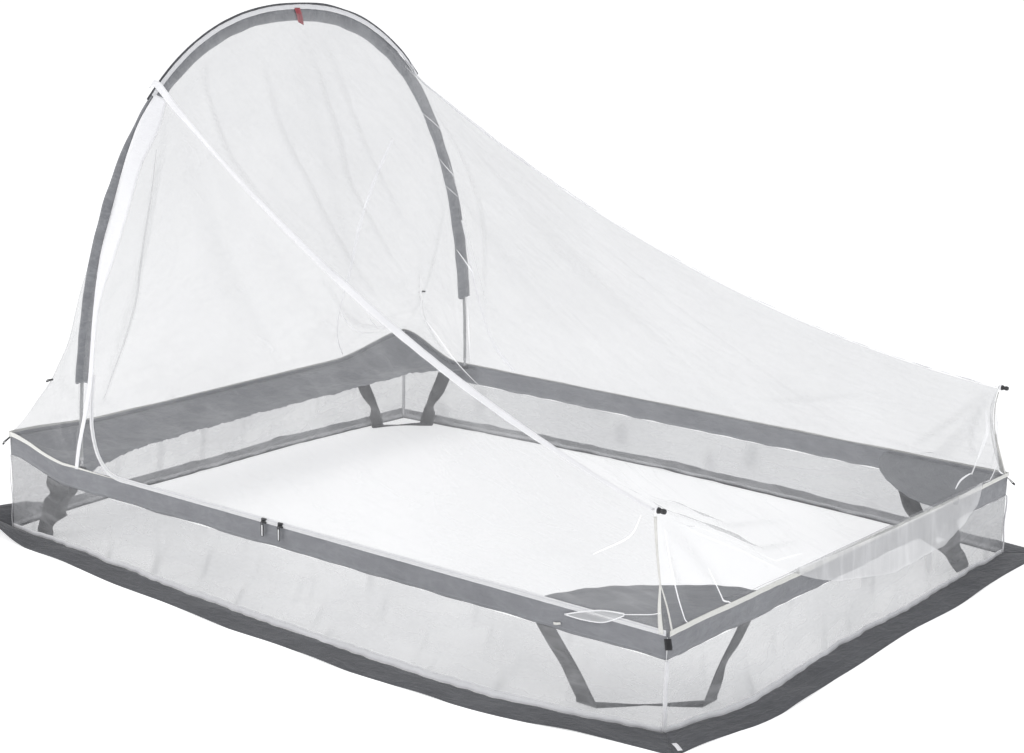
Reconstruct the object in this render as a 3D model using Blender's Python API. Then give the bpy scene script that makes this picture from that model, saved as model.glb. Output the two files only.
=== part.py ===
"""Mosquito net tent for a double bed: a net that goes over the mattress, held up by one hoop.

The origin is on the floor under the middle of the rim. +Z is up, -X is the head end, +X the foot
end, -Y the near side with the zipped door and +Y the far side. Sizes are in metres.
"""

import math

import bmesh
import bpy
from mathutils import Vector

# Overall sizes of the rim, which is the seam between the grey band and the upper net
LENGTH = 2.000
WIDTH = 1.500
RIM_HEIGHT = 0.209

# The rim climbs towards the head end, and most at its two corners
HEAD_RISE = 0.024
CORNER_RISE = 0.030
HEAD_RISE_RUN = 0.215
CORNER_RISE_RUN = 0.320

# Fabric thicknesses and the clearance between two pieces that touch
NET = 0.0006
CLOTH = 0.0008
WEBBING = 0.0012
GAP = 0.0004
MERGE_DISTANCE = 0.00001
SEAM = 0.0008

# Band, edge tape and lower wall
BAND_DEPTH = 0.056
EDGE_TAPE_WIDTH = 0.017
EDGE_TAPE_START = 0.380

# Ground skirt and the hem of the lower wall
SKIRT_WIDTH = 0.080
SKIRT_LAP = 0.004
HEM_BULGE_NEAR = 0.082
HEM_BULGE_FAR = 0.060
HEM_BULGE_FOOT = 0.045
HEM_BULGE_HEAD = 0.030
HEM_BULGE_SHARES_NEAR = (0.0, 0.12, 0.36, 0.62, 0.80, 0.94, 1.0, 1.0, 0.62, 0.0)
HEM_BULGE_SHARES_FAR = (0.0, 0.30, 0.62, 0.85, 1.0, 0.92, 0.80, 0.66, 0.40, 0.0)
HEM_BULGE_SHARES_FOOT = (0.0, 0.85, 1.0, 0.70, 0.42, 0.40, 0.40, 0.22, 0.05, 0.0)
HEM_BULGE_SHARES_HEAD = (0.0, 0.45, 0.80, 1.0, 0.90, 0.95, 1.0, 0.75, 0.40, 0.0)
SKIRT_WAVE = 0.005
SKIRT_WAVES_LONG = 5
SKIRT_WAVES_SHORT = 3
HEM_FLARE_POWER = 2.2

# Grey pieces that lie on top of the mattress
HEAD_PANEL_SIDE = 0.300
HEAD_PANEL_MIDDLE = 0.205
HEAD_PANEL_EASE_SHARE = 0.26
HEAD_PANEL_DROP = 0.009
PANEL_FALL_RUN = 0.110
GUSSET_REACH = 0.270
GUSSET_FULLNESS = 2.3

# Corner straps, from the band down and under the corner
STRAP_RUNG = 0.050
STRAP_TOP_FOOT_SIDE = 0.310
STRAP_FLOOR_FOOT_SIDE = 0.200
STRAP_TOP_FOOT_END = 0.300
STRAP_FLOOR_FOOT_END = 0.185
STRAP_TOP_HEAD_SIDE = 0.165
STRAP_FLOOR_HEAD_SIDE = 0.105
STRAP_TOP_HEAD_END = 0.200
STRAP_FLOOR_HEAD_END = 0.135
STRAP_INSET = 0.012
STRAP_LAP = 0.014
STRAP_BEND = 0.006
STRAP_FLOOR_CLEARANCE = 0.0002

# Hoop: the pole's axis is a superellipse in a plane across the bed
HOOP_FROM_HEAD = 0.254
HOOP_SIDE_INSET = 0.015
HOOP_RISE = 1.066
HOOP_POWER = 2.28
POLE_RADIUS = 0.00425
POLE_BORE = 0.0026
POLE_SECTIONS = 5
SECTION_SEGMENTS = 6
POLE_SIDES = 10
JOINT_GAP = 0.0004
FERRULE_LENGTH = 0.060
FERRULE_RADIUS = 0.0054
FERRULE_CLEARANCE = 0.00035
SHOCK_CORD_RADIUS = 0.0012
SHOCK_CORD_SIDES = 6

# Pole tip with its ball end, and the cup that it stands in
TIP_BALL = 0.0055
TIP_NECK = 0.0030
TIP_NECK_LENGTH = 0.013
TIP_COLLAR_LENGTH = 0.010
TIP_SIDES = 12
TIP_BALL_PLACE_SHARES = (-1.0, -0.85, -0.5, 0.0, 0.5, 0.8)
TIP_BALL_RADIUS_SHARES = (0.25, 0.53, 0.87, 1.0, 0.87, 0.6)
SEAT_RADIUS = 0.0100
SEAT_BASE = 0.0025
SEAT_WALL = 0.0045
SEAT_SHOULDER_SHARE = 0.6
SEAT_RIM_SHARE = 0.9
SEAT_MOUTH_SHARE = 0.9
SEAT_FLOOR_SHARE = 0.5
SEAT_ABOVE_PANEL = 0.0004

# Sleeve round the pole, flattened across the bed
SLEEVE_HALF_DEPTH = 0.0190
SLEEVE_HALF_THICKNESS = 0.0074
SLEEVE_WALL = 0.0010
SLEEVE_END_HEIGHT = 0.418
SLEEVE_SEGMENTS = 38
SLEEVE_SIDES = 12
SLEEVE_TAPE_INNER = 0.0060
SLEEVE_TAPE_OUTER = 0.0240
SEAM_RADIAL = 0.0040
SEAM_STAND = 0.0008

# Places where the ridges meet the hoop, and their ends at the foot
CROSSING_HALF_WIDTH = 0.480
TIP_INSET = 0.040
TIP_HEIGHT_NEAR = 0.450
TIP_HEIGHT_FAR = 0.422
RIDGE_SAG_NEAR = 0.055
RIDGE_SAG_FAR = 0.110
RIDGE_TAPE_WIDTH = 0.020
RIDGE_TAPE_START = 0.010
FOOT_SEAM_WIDTH = 0.018
FOOT_SEAM_BOW = 0.006

# Edge between top and foot panel: it sags between the ridges and drapes outside over the rim
FOOT_EDGE_HEIGHT_SHARES = (1.78, 1.42, 1.06, 0.79, 0.63, 0.51, 0.51, 0.62, 1.22)
FOOT_EDGE_OUT = 0.0032
FOOT_EDGE_LEAN_RISE = 0.100
FOOT_LIFT = 0.0100
FOOT_LIP = 0.0040
DRAPE_STAND = 0.0012
DRAPE_OUT = 0.0050

# Head wall of net
HEAD_SEAM_HEIGHT = 0.540
HEAD_START_HEIGHT = 0.030
CORNER_SAG = 0.055
HEAD_SAG = 0.030
TOP_SAG = 0.025
SIDE_SAG = 0.018
LEG_RELAX_RUN = 0.420

# Main folds of the net panels
FOLD_HEIGHT = 0.010
TOP_FOLD_HALF_WIDTH_SHARE = 0.055
SIDE_FOLD_HALF_WIDTH_SHARE = 0.110
TOP_FOLD_START_SHARES = (0.10, 0.24, 0.40, 0.58, 0.78)
TOP_FOLD_END_SHARES = (0.30, 0.46, 0.62, 0.80, 0.92)
SIDE_FOLD_START_SHARES = (0.78, 0.88)
SIDE_FOLD_END_SHARES = (0.18, 0.52)

# Zip
ZIP_TAPE_WIDTH = 0.020
ZIP_CURVE_LENGTH = 0.200
ZIP_CURVE_HEIGHT = 0.236
ZIP_CURVE_END = 0.500
ZIP_FOOT_END = 0.003
COIL_HEIGHT = 0.0044
COIL_THICKNESS = 0.0018
COIL_END = 0.012
SLIDER_LENGTH = 0.013
SLIDER_HEIGHT = 0.0110
SLIDER_DEPTH = 0.0046
SLIDER_CHANNEL_HEIGHT = 0.0056
SLIDER_CHANNEL_DEPTH = 0.0026
SLIDER_BEVEL = 0.0008
SLIDER_HEAD_PLACE = -0.100
SLIDER_FOOT_PLACE = -0.048
BAIL_RADIUS = 0.0009
BAIL_STAND = 0.0036
BAIL_LENGTH = 0.0070
BAIL_POST = 0.0014
BAIL_SIDES = 10
BAIL_BAR_SHARE = 0.95
PULL_EYE_OUTER = 0.0031
PULL_EYE_INNER = 0.0016
PULL_THICKNESS = 0.0018
PULL_SHAFT_LENGTH = 0.030
PULL_RING_OUTER = 0.0052
PULL_RING_INNER = 0.0018
PULL_SIDES = 14
PULL_SHAFT_SHARE = 0.9
PULL_RING_SHARE = 1.15

# Small tabs and end pieces
CORNER_TAB_LENGTH = 0.024
CORNER_TAB_WIDTH = 0.014
CORNER_TAB_THICKNESS = 0.0024
CORNER_TAB_SLOPE = 0.6
GUY_TAB_LENGTH = 0.018
GUY_TAB_WIDTH = 0.010
GUY_TAB_THICKNESS = 0.0024
GUY_TAB_SHARE = 0.62
TAB_BEVEL = 0.0007
RIDGE_END_LENGTH = 0.025
RIDGE_END_RADIUS = 0.0060
RIDGE_END_SIDES = 12
RIDGE_END_PLACE_SHARES = (0.0, 0.08, 0.45, 0.5, 0.62, 0.68, 0.94, 1.0)
RIDGE_END_RADIUS_SHARES = (0.75, 1.0, 1.0, 0.72, 0.72, 0.9, 0.8, 0.55)
APEX_TAB_LENGTH = 0.036
APEX_TAB_WIDTH = 0.017
APEX_TAB_POINT = 0.007

# Counts of steps along the fabric grids
RIM_LEG_STEPS = 6
RIM_RUN_STEPS = 12
RIM_END_STEPS = 16
WALL_ROWS = 4
BAND_ROWS = 2
TOP_STEPS = 20
TOP_ROWS = 20
SIDE_STEPS = 24
SIDE_ROWS = 8
HEAD_ROWS = 9
FOOT_ROWS = 5
TAPE_STEPS = 24
ZIP_CURVE_STEPS = 10
ZIP_RUN_STEPS = 12
PANEL_STEPS = 16
PANEL_ROWS = 5
GUSSET_STEPS = 10

# Places that follow from the sizes above
X_HEAD = -LENGTH / 2
X_FOOT = LENGTH / 2
HALF_WIDTH = WIDTH / 2
HOOP_HALF_WIDTH = HALF_WIDTH - HOOP_SIDE_INSET
X_HOOP = X_HEAD + HOOP_FROM_HEAD
SEAM_X_OFFSET = SLEEVE_HALF_THICKNESS + SEAM_STAND
X_SEAM_FOOT = X_HOOP + SEAM_X_OFFSET
X_SEAM_HEAD = X_HOOP - SEAM_X_OFFSET
TAPE_STAND = CLOTH + GAP * 1.5
COLOURS = {
    "skirt": (0.115, 0.118, 0.128),
    "band": (0.270, 0.275, 0.315),
    "strap": (0.160, 0.162, 0.170),
    "net": (0.860, 0.865, 0.880),
    "tape": (0.880, 0.880, 0.890),
    "black": (0.020, 0.020, 0.022),
    "red": (0.400, 0.055, 0.075),
    "fibreglass": (0.420, 0.425, 0.430),
    "steel": (0.620, 0.620, 0.630),
    "elastic": (0.800, 0.800, 0.800),
    "moulding": (0.090, 0.090, 0.095),
}
METALS = ("steel",)


def clear_scene():
    for old in list(bpy.data.objects):
        bpy.data.objects.remove(old, do_unlink=True)


def material(finish, roughness=0.75):
    """One Principled material per finish, made the first time that it is asked for."""
    found = bpy.data.materials.get(finish)
    if found:
        return found
    made = bpy.data.materials.new(finish)
    made.use_nodes = True
    shader = made.node_tree.nodes["Principled BSDF"]
    shader.inputs["Base Color"].default_value = (*COLOURS[finish], 1)
    shader.inputs["Roughness"].default_value = roughness
    shader.inputs["Metallic"].default_value = float(finish in METALS)
    return made


def make_object(name, points, faces, finish, smooth=False):
    mesh = bpy.data.meshes.new(name)
    mesh.from_pydata([tuple(point) for point in points], [], faces)
    mesh.validate()
    mesh.update()
    if smooth:
        mesh.shade_smooth()
    made = bpy.data.objects.new(name, mesh)
    bpy.context.scene.collection.objects.link(made)
    mesh.materials.append(material(finish))
    return made


def sheet(name, rows, thickness, finish, even=True):
    """A sheet of fabric: a grid of points on its middle surface, given its thickness by Solidify."""
    columns = len(rows[0])
    points = [point for row in rows for point in row]
    faces = []
    for r in range(len(rows) - 1):
        for c in range(columns - 1):
            first = r * columns + c
            faces.append((first, first + 1, first + columns + 1, first + columns))
    made = make_object(name, points, faces, finish)
    solid = made.modifiers.new("thickness", "SOLIDIFY")
    solid.thickness = thickness
    solid.offset = 0
    solid.use_even_offset = even
    return made


def ring_solid(name, rings, finish, bore=None, smooth=True):
    """A solid through a list of rings, with flat ends, or a tube where the bore's rings are given."""
    sides = len(rings[0])
    points = [point for ring in rings for point in ring]
    faces = []

    def skin(start, inward):
        for r in range(len(rings) - 1):
            for s in range(sides):
                a = start + r * sides + s
                b = start + r * sides + (s + 1) % sides
                face = (a, b, b + sides, a + sides)
                faces.append(face[::-1] if inward else face)

    skin(0, False)
    last = (len(rings) - 1) * sides
    if bore is None:
        faces.append(tuple(range(sides))[::-1])
        faces.append(tuple(range(last, last + sides)))
    else:
        inner = len(points)
        points += [point for ring in bore for point in ring]
        skin(inner, True)
        for s in range(sides):
            t = (s + 1) % sides
            faces.append((t, s, inner + s, inner + t))
            faces.append((last + s, last + t, inner + last + t, inner + last + s))
    made = make_object(name, points, faces, finish, smooth)
    point_faces_out(made)
    if smooth:
        made.data.set_sharp_from_angle(angle=math.radians(40))
    return made


def point_faces_out(made):
    work = bmesh.new()
    work.from_mesh(made.data)
    bmesh.ops.recalc_face_normals(work, faces=work.faces)
    work.to_mesh(made.data)
    work.free()


def lerp(a, b, share):
    return a + (b - a) * share


def smooth_step(share):
    share = min(1.0, max(0.0, share))
    return share * share * (3 - 2 * share)


def shares_at(table, share):
    """Value of an evenly spaced table, read along a smooth curve through its entries."""
    place = min(1.0, max(0.0, share)) * (len(table) - 1)
    low = min(int(place), len(table) - 2)
    part = place - low
    before = table[max(low - 1, 0)]
    first = table[low]
    second = table[low + 1]
    after = table[min(low + 2, len(table) - 1)]
    bend = second - before + part * (2 * before - 5 * first + 4 * second - after)
    bend += part * part * (3 * (first - second) + after - before)
    return first + part * bend / 2


def rim_height(x, y):
    """Height of the rim: level, but climbing to the head end and to its corners."""
    climb = smooth_step((X_HEAD + HEAD_RISE_RUN - x) / HEAD_RISE_RUN)
    corner = smooth_step((abs(y) - HALF_WIDTH + CORNER_RISE_RUN) / CORNER_RISE_RUN)
    return RIM_HEIGHT + climb * (HEAD_RISE + CORNER_RISE * corner)


# The four sides of the rim. Each runs from share 0 to 1, with its outward direction.
SIDES = {
    "near": (Vector((X_HEAD, -HALF_WIDTH, 0)), Vector((X_FOOT, -HALF_WIDTH, 0)), Vector((0, -1, 0))),
    "foot": (Vector((X_FOOT, -HALF_WIDTH, 0)), Vector((X_FOOT, HALF_WIDTH, 0)), Vector((1, 0, 0))),
    "far": (Vector((X_HEAD, HALF_WIDTH, 0)), Vector((X_FOOT, HALF_WIDTH, 0)), Vector((0, 1, 0))),
    "head": (Vector((X_HEAD, -HALF_WIDTH, 0)), Vector((X_HEAD, HALF_WIDTH, 0)), Vector((-1, 0, 0))),
}
HEMS = {
    "near": (HEM_BULGE_NEAR, HEM_BULGE_SHARES_NEAR, SKIRT_WAVES_LONG),
    "foot": (HEM_BULGE_FOOT, HEM_BULGE_SHARES_FOOT, SKIRT_WAVES_SHORT),
    "far": (HEM_BULGE_FAR, HEM_BULGE_SHARES_FAR, SKIRT_WAVES_LONG),
    "head": (HEM_BULGE_HEAD, HEM_BULGE_SHARES_HEAD, SKIRT_WAVES_SHORT),
}


def side_run(side, inset=SEAM):
    """Start and end of a side, drawn in from the corners by the seam's clearance."""
    start, end, out = SIDES[side]
    along = (end - start).normalized()
    return start + along * inset, end - along * inset, out


def side_shares(side):
    """Shares of a side at which its fabric has points: closer together beside the head's corners."""
    if side in ("head", "foot"):
        return [step / RIM_END_STEPS for step in range(RIM_END_STEPS + 1)]
    knee = (X_SEAM_HEAD - X_HEAD) / LENGTH
    leg = [knee * step / RIM_LEG_STEPS for step in range(RIM_LEG_STEPS)]
    return leg + [lerp(knee, 1.0, step / RIM_RUN_STEPS) for step in range(RIM_RUN_STEPS + 1)]


def along_side(side, share, inset=SEAM):
    start, end, out = side_run(side, inset)
    point = start.lerp(end, share)
    point.z = rim_height(point.x, point.y)
    return point, out


def hem_out(side, share):
    bulge, shares, _ = HEMS[side]
    return bulge * shares_at(shares, share)


def build_skirt(side):
    """Flat strip on the floor, mitred at the corners, with a gently waving outer edge."""
    start, end, out = SIDES[side]
    along = (end - start).normalized()
    waves = HEMS[side][2]
    inner = []
    outer = []
    for share in side_shares(side):
        base = start.lerp(end, share)
        base.z = CLOTH / 2
        bulge = hem_out(side, share)
        mitre = along * (SKIRT_WIDTH * (2 * share - 1)) if share in (0, 1) else Vector()
        trim = along * ((1 - 2 * share) * GAP) if share in (0, 1) else Vector()
        wave = SKIRT_WAVE * math.sin(2 * math.pi * waves * share) * math.sin(math.pi * share)
        inner.append(base + out * (bulge - SKIRT_LAP) + trim + mitre * (-SKIRT_LAP / SKIRT_WIDTH))
        outer.append(base + out * (bulge + SKIRT_WIDTH + wave) + mitre + trim)
    sheet("skirt_" + side, [inner, outer], CLOTH, "skirt")


def build_wall_net(side):
    """Lower net, from the band's lower edge down to its hem on the skirt."""
    rows = []
    for r in range(WALL_ROWS + 1):
        fall = r / WALL_ROWS
        row = []
        for share in side_shares(side):
            top, out = along_side(side, share)
            top.z -= BAND_DEPTH + SEAM
            bottom_z = CLOTH + GAP
            point = top + out * (hem_out(side, share) * fall**HEM_FLARE_POWER)
            point.z = lerp(top.z, bottom_z, fall)
            row.append(point)
        rows.append(row)
    sheet("wall_net_" + side, rows, NET, "net")


def build_band(side):
    rows = []
    for r in range(BAND_ROWS + 1):
        row = []
        for share in side_shares(side):
            point, _ = along_side(side, share)
            point.z -= GAP + (BAND_DEPTH - GAP) * r / BAND_ROWS
            row.append(point)
        rows.append(row)
    sheet("band_" + side, rows, CLOTH, "band")


def panel_height(x, y):
    """Height of the grey pieces that lie on the bed: below the rim, falling to its level part."""
    inside = min(x - X_HEAD, HALF_WIDTH - abs(y))
    fall = smooth_step(inside / PANEL_FALL_RUN)
    beside_side = HALF_WIDTH - abs(y) < x - X_HEAD
    edge = rim_height(x, HALF_WIDTH) if beside_side else rim_height(X_HEAD, y)
    return lerp(edge, RIM_HEIGHT, fall) - HEAD_PANEL_DROP


def build_head_panel():
    """Grey fabric over the head end of the bed, with a bowed inner edge."""
    clear = CLOTH / 2 + GAP
    rows = []
    for r in range(PANEL_ROWS + 1):
        row = []
        for step in range(PANEL_STEPS + 1):
            share = step / PANEL_STEPS
            y = lerp(-HALF_WIDTH + CLOTH / 2 + clear, HALF_WIDTH - CLOTH / 2 - clear, share)
            ease = smooth_step(min(share, 1 - share) / HEAD_PANEL_EASE_SHARE)
            depth = lerp(HEAD_PANEL_SIDE, HEAD_PANEL_MIDDLE, ease)
            x = X_HEAD + CLOTH / 2 + clear + depth * r / PANEL_ROWS
            row.append(Vector((x, y, panel_height(x, y))))
        rows.append(row)
    sheet("head_panel", rows, CLOTH, "band")


def build_gusset(side):
    """Grey piece over a foot corner of the bed, its inner edge a full quarter round."""
    _, _, out = SIDES[side]
    clear = CLOTH + GAP
    corner = Vector((X_FOOT - clear, out.y * (HALF_WIDTH - clear), RIM_HEIGHT - HEAD_PANEL_DROP))
    rim = []
    for step in range(GUSSET_STEPS + 1):
        turn = math.pi / 2 * step / GUSSET_STEPS
        power = 2 / GUSSET_FULLNESS
        reach_x = GUSSET_REACH * abs(math.cos(turn)) ** power
        reach_y = GUSSET_REACH * abs(math.sin(turn)) ** power
        rim.append(corner + Vector((-reach_x, -out.y * reach_y, 0)))
    half = [corner.lerp(point, 0.5) for point in rim]
    near_corner = [corner.lerp(point, SEAM / GUSSET_REACH) for point in rim]
    sheet("gusset_" + side, [near_corner, half, rim], CLOTH, "band")


def strap_leg(side, end, top_place, floor_place):
    """Rungs of a strap's leg, from the band down to the floor, drawn in from the lower net."""
    _, _, out = SIDES[side]
    along = Vector((-end.x, 0, 0)) if out.y else Vector((0, -end.y, 0))
    corner = Vector((end.x * LENGTH / 2, end.y * WIDTH / 2, 0))
    lap = CLOTH / 2 + GAP + WEBBING / 2
    rungs = []
    heights = (RIM_HEIGHT - BAND_DEPTH + STRAP_LAP, RIM_HEIGHT - BAND_DEPTH - STRAP_LAP, STRAP_BEND * 2)
    insets = (lap, lap + NET, STRAP_INSET)
    for height, inset in zip(heights, insets):
        share = (heights[0] - height) / heights[0]
        place = lerp(top_place, floor_place, share)
        middle = corner + along * place - out * inset
        middle.z = height
        rungs.append((middle + along * (STRAP_RUNG / 2), middle - along * (STRAP_RUNG / 2)))
    low = STRAP_FLOOR_CLEARANCE + WEBBING / 2
    for turn in (1, 2, 3):
        angle = math.pi / 2 * turn / 3
        inset = STRAP_INSET + STRAP_BEND * (1 - math.cos(angle))
        middle = corner + along * floor_place - out * inset
        middle.z = low + STRAP_BEND * (1 - math.sin(angle))
        rungs.append((middle + along * (STRAP_RUNG / 2), middle - along * (STRAP_RUNG / 2)))
    return rungs


def build_strap(side_end, end, places):
    """One strap: down inside the net on one side, under the bed's corner, and up the other side."""
    side = "near" if end.y < 0 else "far"
    crossing = "head" if end.x < 0 else "foot"
    side_top, side_floor, end_top, end_floor = places
    first = strap_leg(side, end, side_top, side_floor)
    second = strap_leg(crossing, end, end_top, end_floor)
    rungs = first + second[::-1]
    rows = [[rung[0] for rung in rungs], [rung[1] for rung in rungs]]
    sheet("strap_" + side_end, rows, WEBBING, "strap")


def hoop_angle(half_width):
    """Angle of the hoop's curve where it is this far from the middle, for the seam curve."""
    return math.acos(min(1.0, (half_width / (HOOP_HALF_WIDTH + SEAM_RADIAL)) ** (HOOP_POWER / 2)))


def height_angle(height):
    """Angle of the hoop's curve at this height over its feet."""
    return math.asin(min(1.0, (height / HOOP_RISE) ** (HOOP_POWER / 2)))


def hoop_foot_height():
    x = X_HOOP
    y = -HOOP_HALF_WIDTH
    return panel_height(x, y) + CLOTH / 2 + SEAT_ABOVE_PANEL + SEAT_BASE + GAP + TIP_BALL


HOOP_Z = hoop_foot_height()


def hoop_point(angle, radial=0.0, x=X_HOOP):
    """Point of the hoop's curve, from the near foot at 0 to the far foot at pi, moved out by radial."""
    power = 2 / HOOP_POWER
    cosine = math.cos(angle)
    across = math.copysign(abs(cosine) ** power, cosine)
    up = abs(math.sin(angle)) ** power
    point = Vector((x, -HOOP_HALF_WIDTH * across, HOOP_Z + HOOP_RISE * up))
    if not radial:
        return point
    return point + hoop_frame(angle)[1] * radial


def hoop_frame(angle):
    """Tangent and outward direction of the hoop's curve."""
    step = math.pi / 2000
    low = max(angle - step, step / 8)
    high = min(angle + step, math.pi - step / 8)
    tangent = (hoop_point(high) - hoop_point(low)).normalized()
    outward = tangent.cross(Vector((1, 0, 0)))
    if outward.z < 0 and abs(outward.z) > abs(outward.y):
        outward = -outward
    if outward.y * hoop_point(angle).y < 0:
        outward = -outward
    return tangent, outward


def arc_table(count=4000):
    """Angles and lengths along the pole's axis."""
    angles = [math.pi * k / count for k in range(count + 1)]
    lengths = [0.0]
    for k in range(count):
        lengths.append(lengths[-1] + (hoop_point(angles[k + 1]) - hoop_point(angles[k])).length)
    return angles, lengths


ARC_ANGLES, ARC_LENGTHS = arc_table()
HOOP_LENGTH = ARC_LENGTHS[-1]


def angle_at(length):
    """Angle of the hoop's curve at this length along the pole from the near foot."""
    length = min(HOOP_LENGTH, max(0.0, length))
    low = 0
    high = len(ARC_LENGTHS) - 1
    while high - low > 1:
        middle = (low + high) // 2
        if ARC_LENGTHS[middle] <= length:
            low = middle
        else:
            high = middle
    part = (length - ARC_LENGTHS[low]) / (ARC_LENGTHS[high] - ARC_LENGTHS[low])
    return lerp(ARC_ANGLES[low], ARC_ANGLES[high], part)


def hoop_ring(length, deep, thick, sides):
    """Oval ring round the pole's axis: deep is in the hoop's plane, thick is across it."""
    angle = angle_at(length)
    centre = hoop_point(angle)
    _, outward = hoop_frame(angle)
    ring = []
    for s in range(sides):
        turn = 2 * math.pi * s / sides
        ring.append(centre + outward * (deep * math.cos(turn)) + Vector((thick * math.sin(turn), 0, 0)))
    return ring


TIP_LENGTH = TIP_NECK_LENGTH + TIP_COLLAR_LENGTH
POLE_START = TIP_LENGTH + GAP
POLE_END = HOOP_LENGTH - POLE_START
SECTION_LENGTH = (POLE_END - POLE_START) / POLE_SECTIONS


def section_stations(number):
    """Places of a pole section's rings. They match the ferrules' rings at both ends."""
    start = POLE_START + SECTION_LENGTH * number
    end = start + SECTION_LENGTH
    half = FERRULE_LENGTH / 2
    first = start + (JOINT_GAP / 2 if number else 0.0)
    last = end - (JOINT_GAP / 2 if number < POLE_SECTIONS - 1 else 0.0)
    inner = [lerp(start + half, end - half, k / SECTION_SEGMENTS) for k in range(SECTION_SEGMENTS + 1)]
    return [first] + inner + [last]


def build_pole():
    stations = []
    for number in range(POLE_SECTIONS):
        places = section_stations(number)
        outer = [hoop_ring(place, POLE_RADIUS, POLE_RADIUS, POLE_SIDES) for place in places]
        bore = [hoop_ring(place, POLE_BORE, POLE_BORE, POLE_SIDES) for place in places]
        ring_solid(f"pole_section_{number + 1}", outer, "fibreglass", bore)
        stations += places
    for number in range(1, POLE_SECTIONS):
        middle = POLE_START + SECTION_LENGTH * number
        half = FERRULE_LENGTH / 2
        places = (middle - half, middle, middle + half)
        outer = [hoop_ring(place, FERRULE_RADIUS, FERRULE_RADIUS, POLE_SIDES) for place in places]
        inside = POLE_RADIUS + FERRULE_CLEARANCE
        bore = [hoop_ring(place, inside, inside, POLE_SIDES) for place in places]
        ring_solid(f"ferrule_{number}", outer, "steel", bore)
    thin = SHOCK_CORD_RADIUS
    cord = [hoop_ring(place, thin, thin, SHOCK_CORD_SIDES) for place in stations]
    ring_solid("shock_cord", cord, "elastic")


def build_tip(name, far):
    """Turned end of the pole: a collar, a neck and a ball whose centre is on the hoop's fold axis."""
    rings = []
    for place_share, radius_share in zip(TIP_BALL_PLACE_SHARES, TIP_BALL_RADIUS_SHARES):
        rings.append((TIP_BALL * place_share, TIP_BALL * radius_share))
    rings.append((TIP_NECK_LENGTH, TIP_NECK))
    rings.append((TIP_NECK_LENGTH + TIP_NECK / 2, POLE_RADIUS))
    rings.append((TIP_LENGTH, POLE_RADIUS))
    made = []
    for along, radius in rings:
        length = HOOP_LENGTH - along if far else along
        angle = angle_at(length)
        centre = hoop_point(angle)
        tangent, outward = hoop_frame(angle)
        if along < 0:
            centre = centre + tangent * (along if not far else -along)
        ring = []
        for s in range(TIP_SIDES):
            turn = 2 * math.pi * s / TIP_SIDES
            across = Vector((radius * math.sin(turn), 0, 0))
            ring.append(centre + outward * (radius * math.cos(turn)) + across)
        made.append(ring)
    ring_solid(name, made, "steel")


def build_seat(name, side_sign):
    """Shallow moulded cup on the head panel, which the pole's ball end stands in."""
    centre = Vector((X_HOOP, side_sign * HOOP_HALF_WIDTH, 0))
    floor = HOOP_Z - TIP_BALL - GAP
    top = floor - SEAT_BASE + SEAT_WALL
    profile = [
        (0.0, floor - SEAT_BASE),
        (SEAT_RADIUS, floor - SEAT_BASE),
        (SEAT_RADIUS, lerp(floor, top, SEAT_SHOULDER_SHARE)),
        (SEAT_RADIUS * SEAT_RIM_SHARE, top),
        (TIP_BALL * SEAT_MOUTH_SHARE, top),
        (TIP_BALL * SEAT_FLOOR_SHARE, floor),
        (0.0, floor),
    ]
    points = [Vector((radius, 0, height)) for radius, height in profile]
    edges = [(k, k + 1) for k in range(len(points) - 1)]
    mesh = bpy.data.meshes.new(name)
    mesh.from_pydata(points, edges, [])
    made = bpy.data.objects.new(name, mesh)
    made.location = centre
    bpy.context.scene.collection.objects.link(made)
    mesh.materials.append(material("moulding"))
    turn = made.modifiers.new("turned", "SCREW")
    turn.steps = 24
    turn.render_steps = 24
    turn.use_merge_vertices = True
    turn.merge_threshold = MERGE_DISTANCE
    turn.use_normal_calculate = True


def build_sleeve():
    start = length_at_height(SLEEVE_END_HEIGHT)
    end = HOOP_LENGTH - start
    outer = []
    bore = []
    for k in range(SLEEVE_SEGMENTS + 1):
        place = lerp(start, end, k / SLEEVE_SEGMENTS)
        outer.append(hoop_ring(place, SLEEVE_HALF_DEPTH, SLEEVE_HALF_THICKNESS, SLEEVE_SIDES))
        inner_depth = SLEEVE_HALF_DEPTH - SLEEVE_WALL * 2
        bore.append(hoop_ring(place, inner_depth, SLEEVE_HALF_THICKNESS - SLEEVE_WALL, SLEEVE_SIDES))
    ring_solid("pole_sleeve", outer, "band", bore)


def length_at_height(height):
    """Length along the pole at which its near leg reaches this height over the floor."""
    angle = height_angle(height - HOOP_Z)
    share = angle / math.pi
    return lerp_table(ARC_LENGTHS, share)


def lerp_table(table, share):
    place = share * (len(table) - 1)
    low = min(int(place), len(table) - 2)
    return lerp(table[low], table[low + 1], place - low)


CROSSING_ANGLE = hoop_angle(CROSSING_HALF_WIDTH)


def build_sleeve_tape():
    """White tape in front of the sleeve's outer edge, between the two ridges."""
    x = X_HOOP + SLEEVE_HALF_THICKNESS + GAP + CLOTH / 2
    inner = []
    outer = []
    for k in range(TAPE_STEPS + 1):
        angle = lerp(CROSSING_ANGLE, math.pi - CROSSING_ANGLE, k / TAPE_STEPS)
        inner.append(hoop_point(angle, SLEEVE_TAPE_INNER, x))
        outer.append(hoop_point(angle, SLEEVE_TAPE_OUTER, x))
    sheet("sleeve_tape", [inner, outer], CLOTH, "tape")


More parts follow.
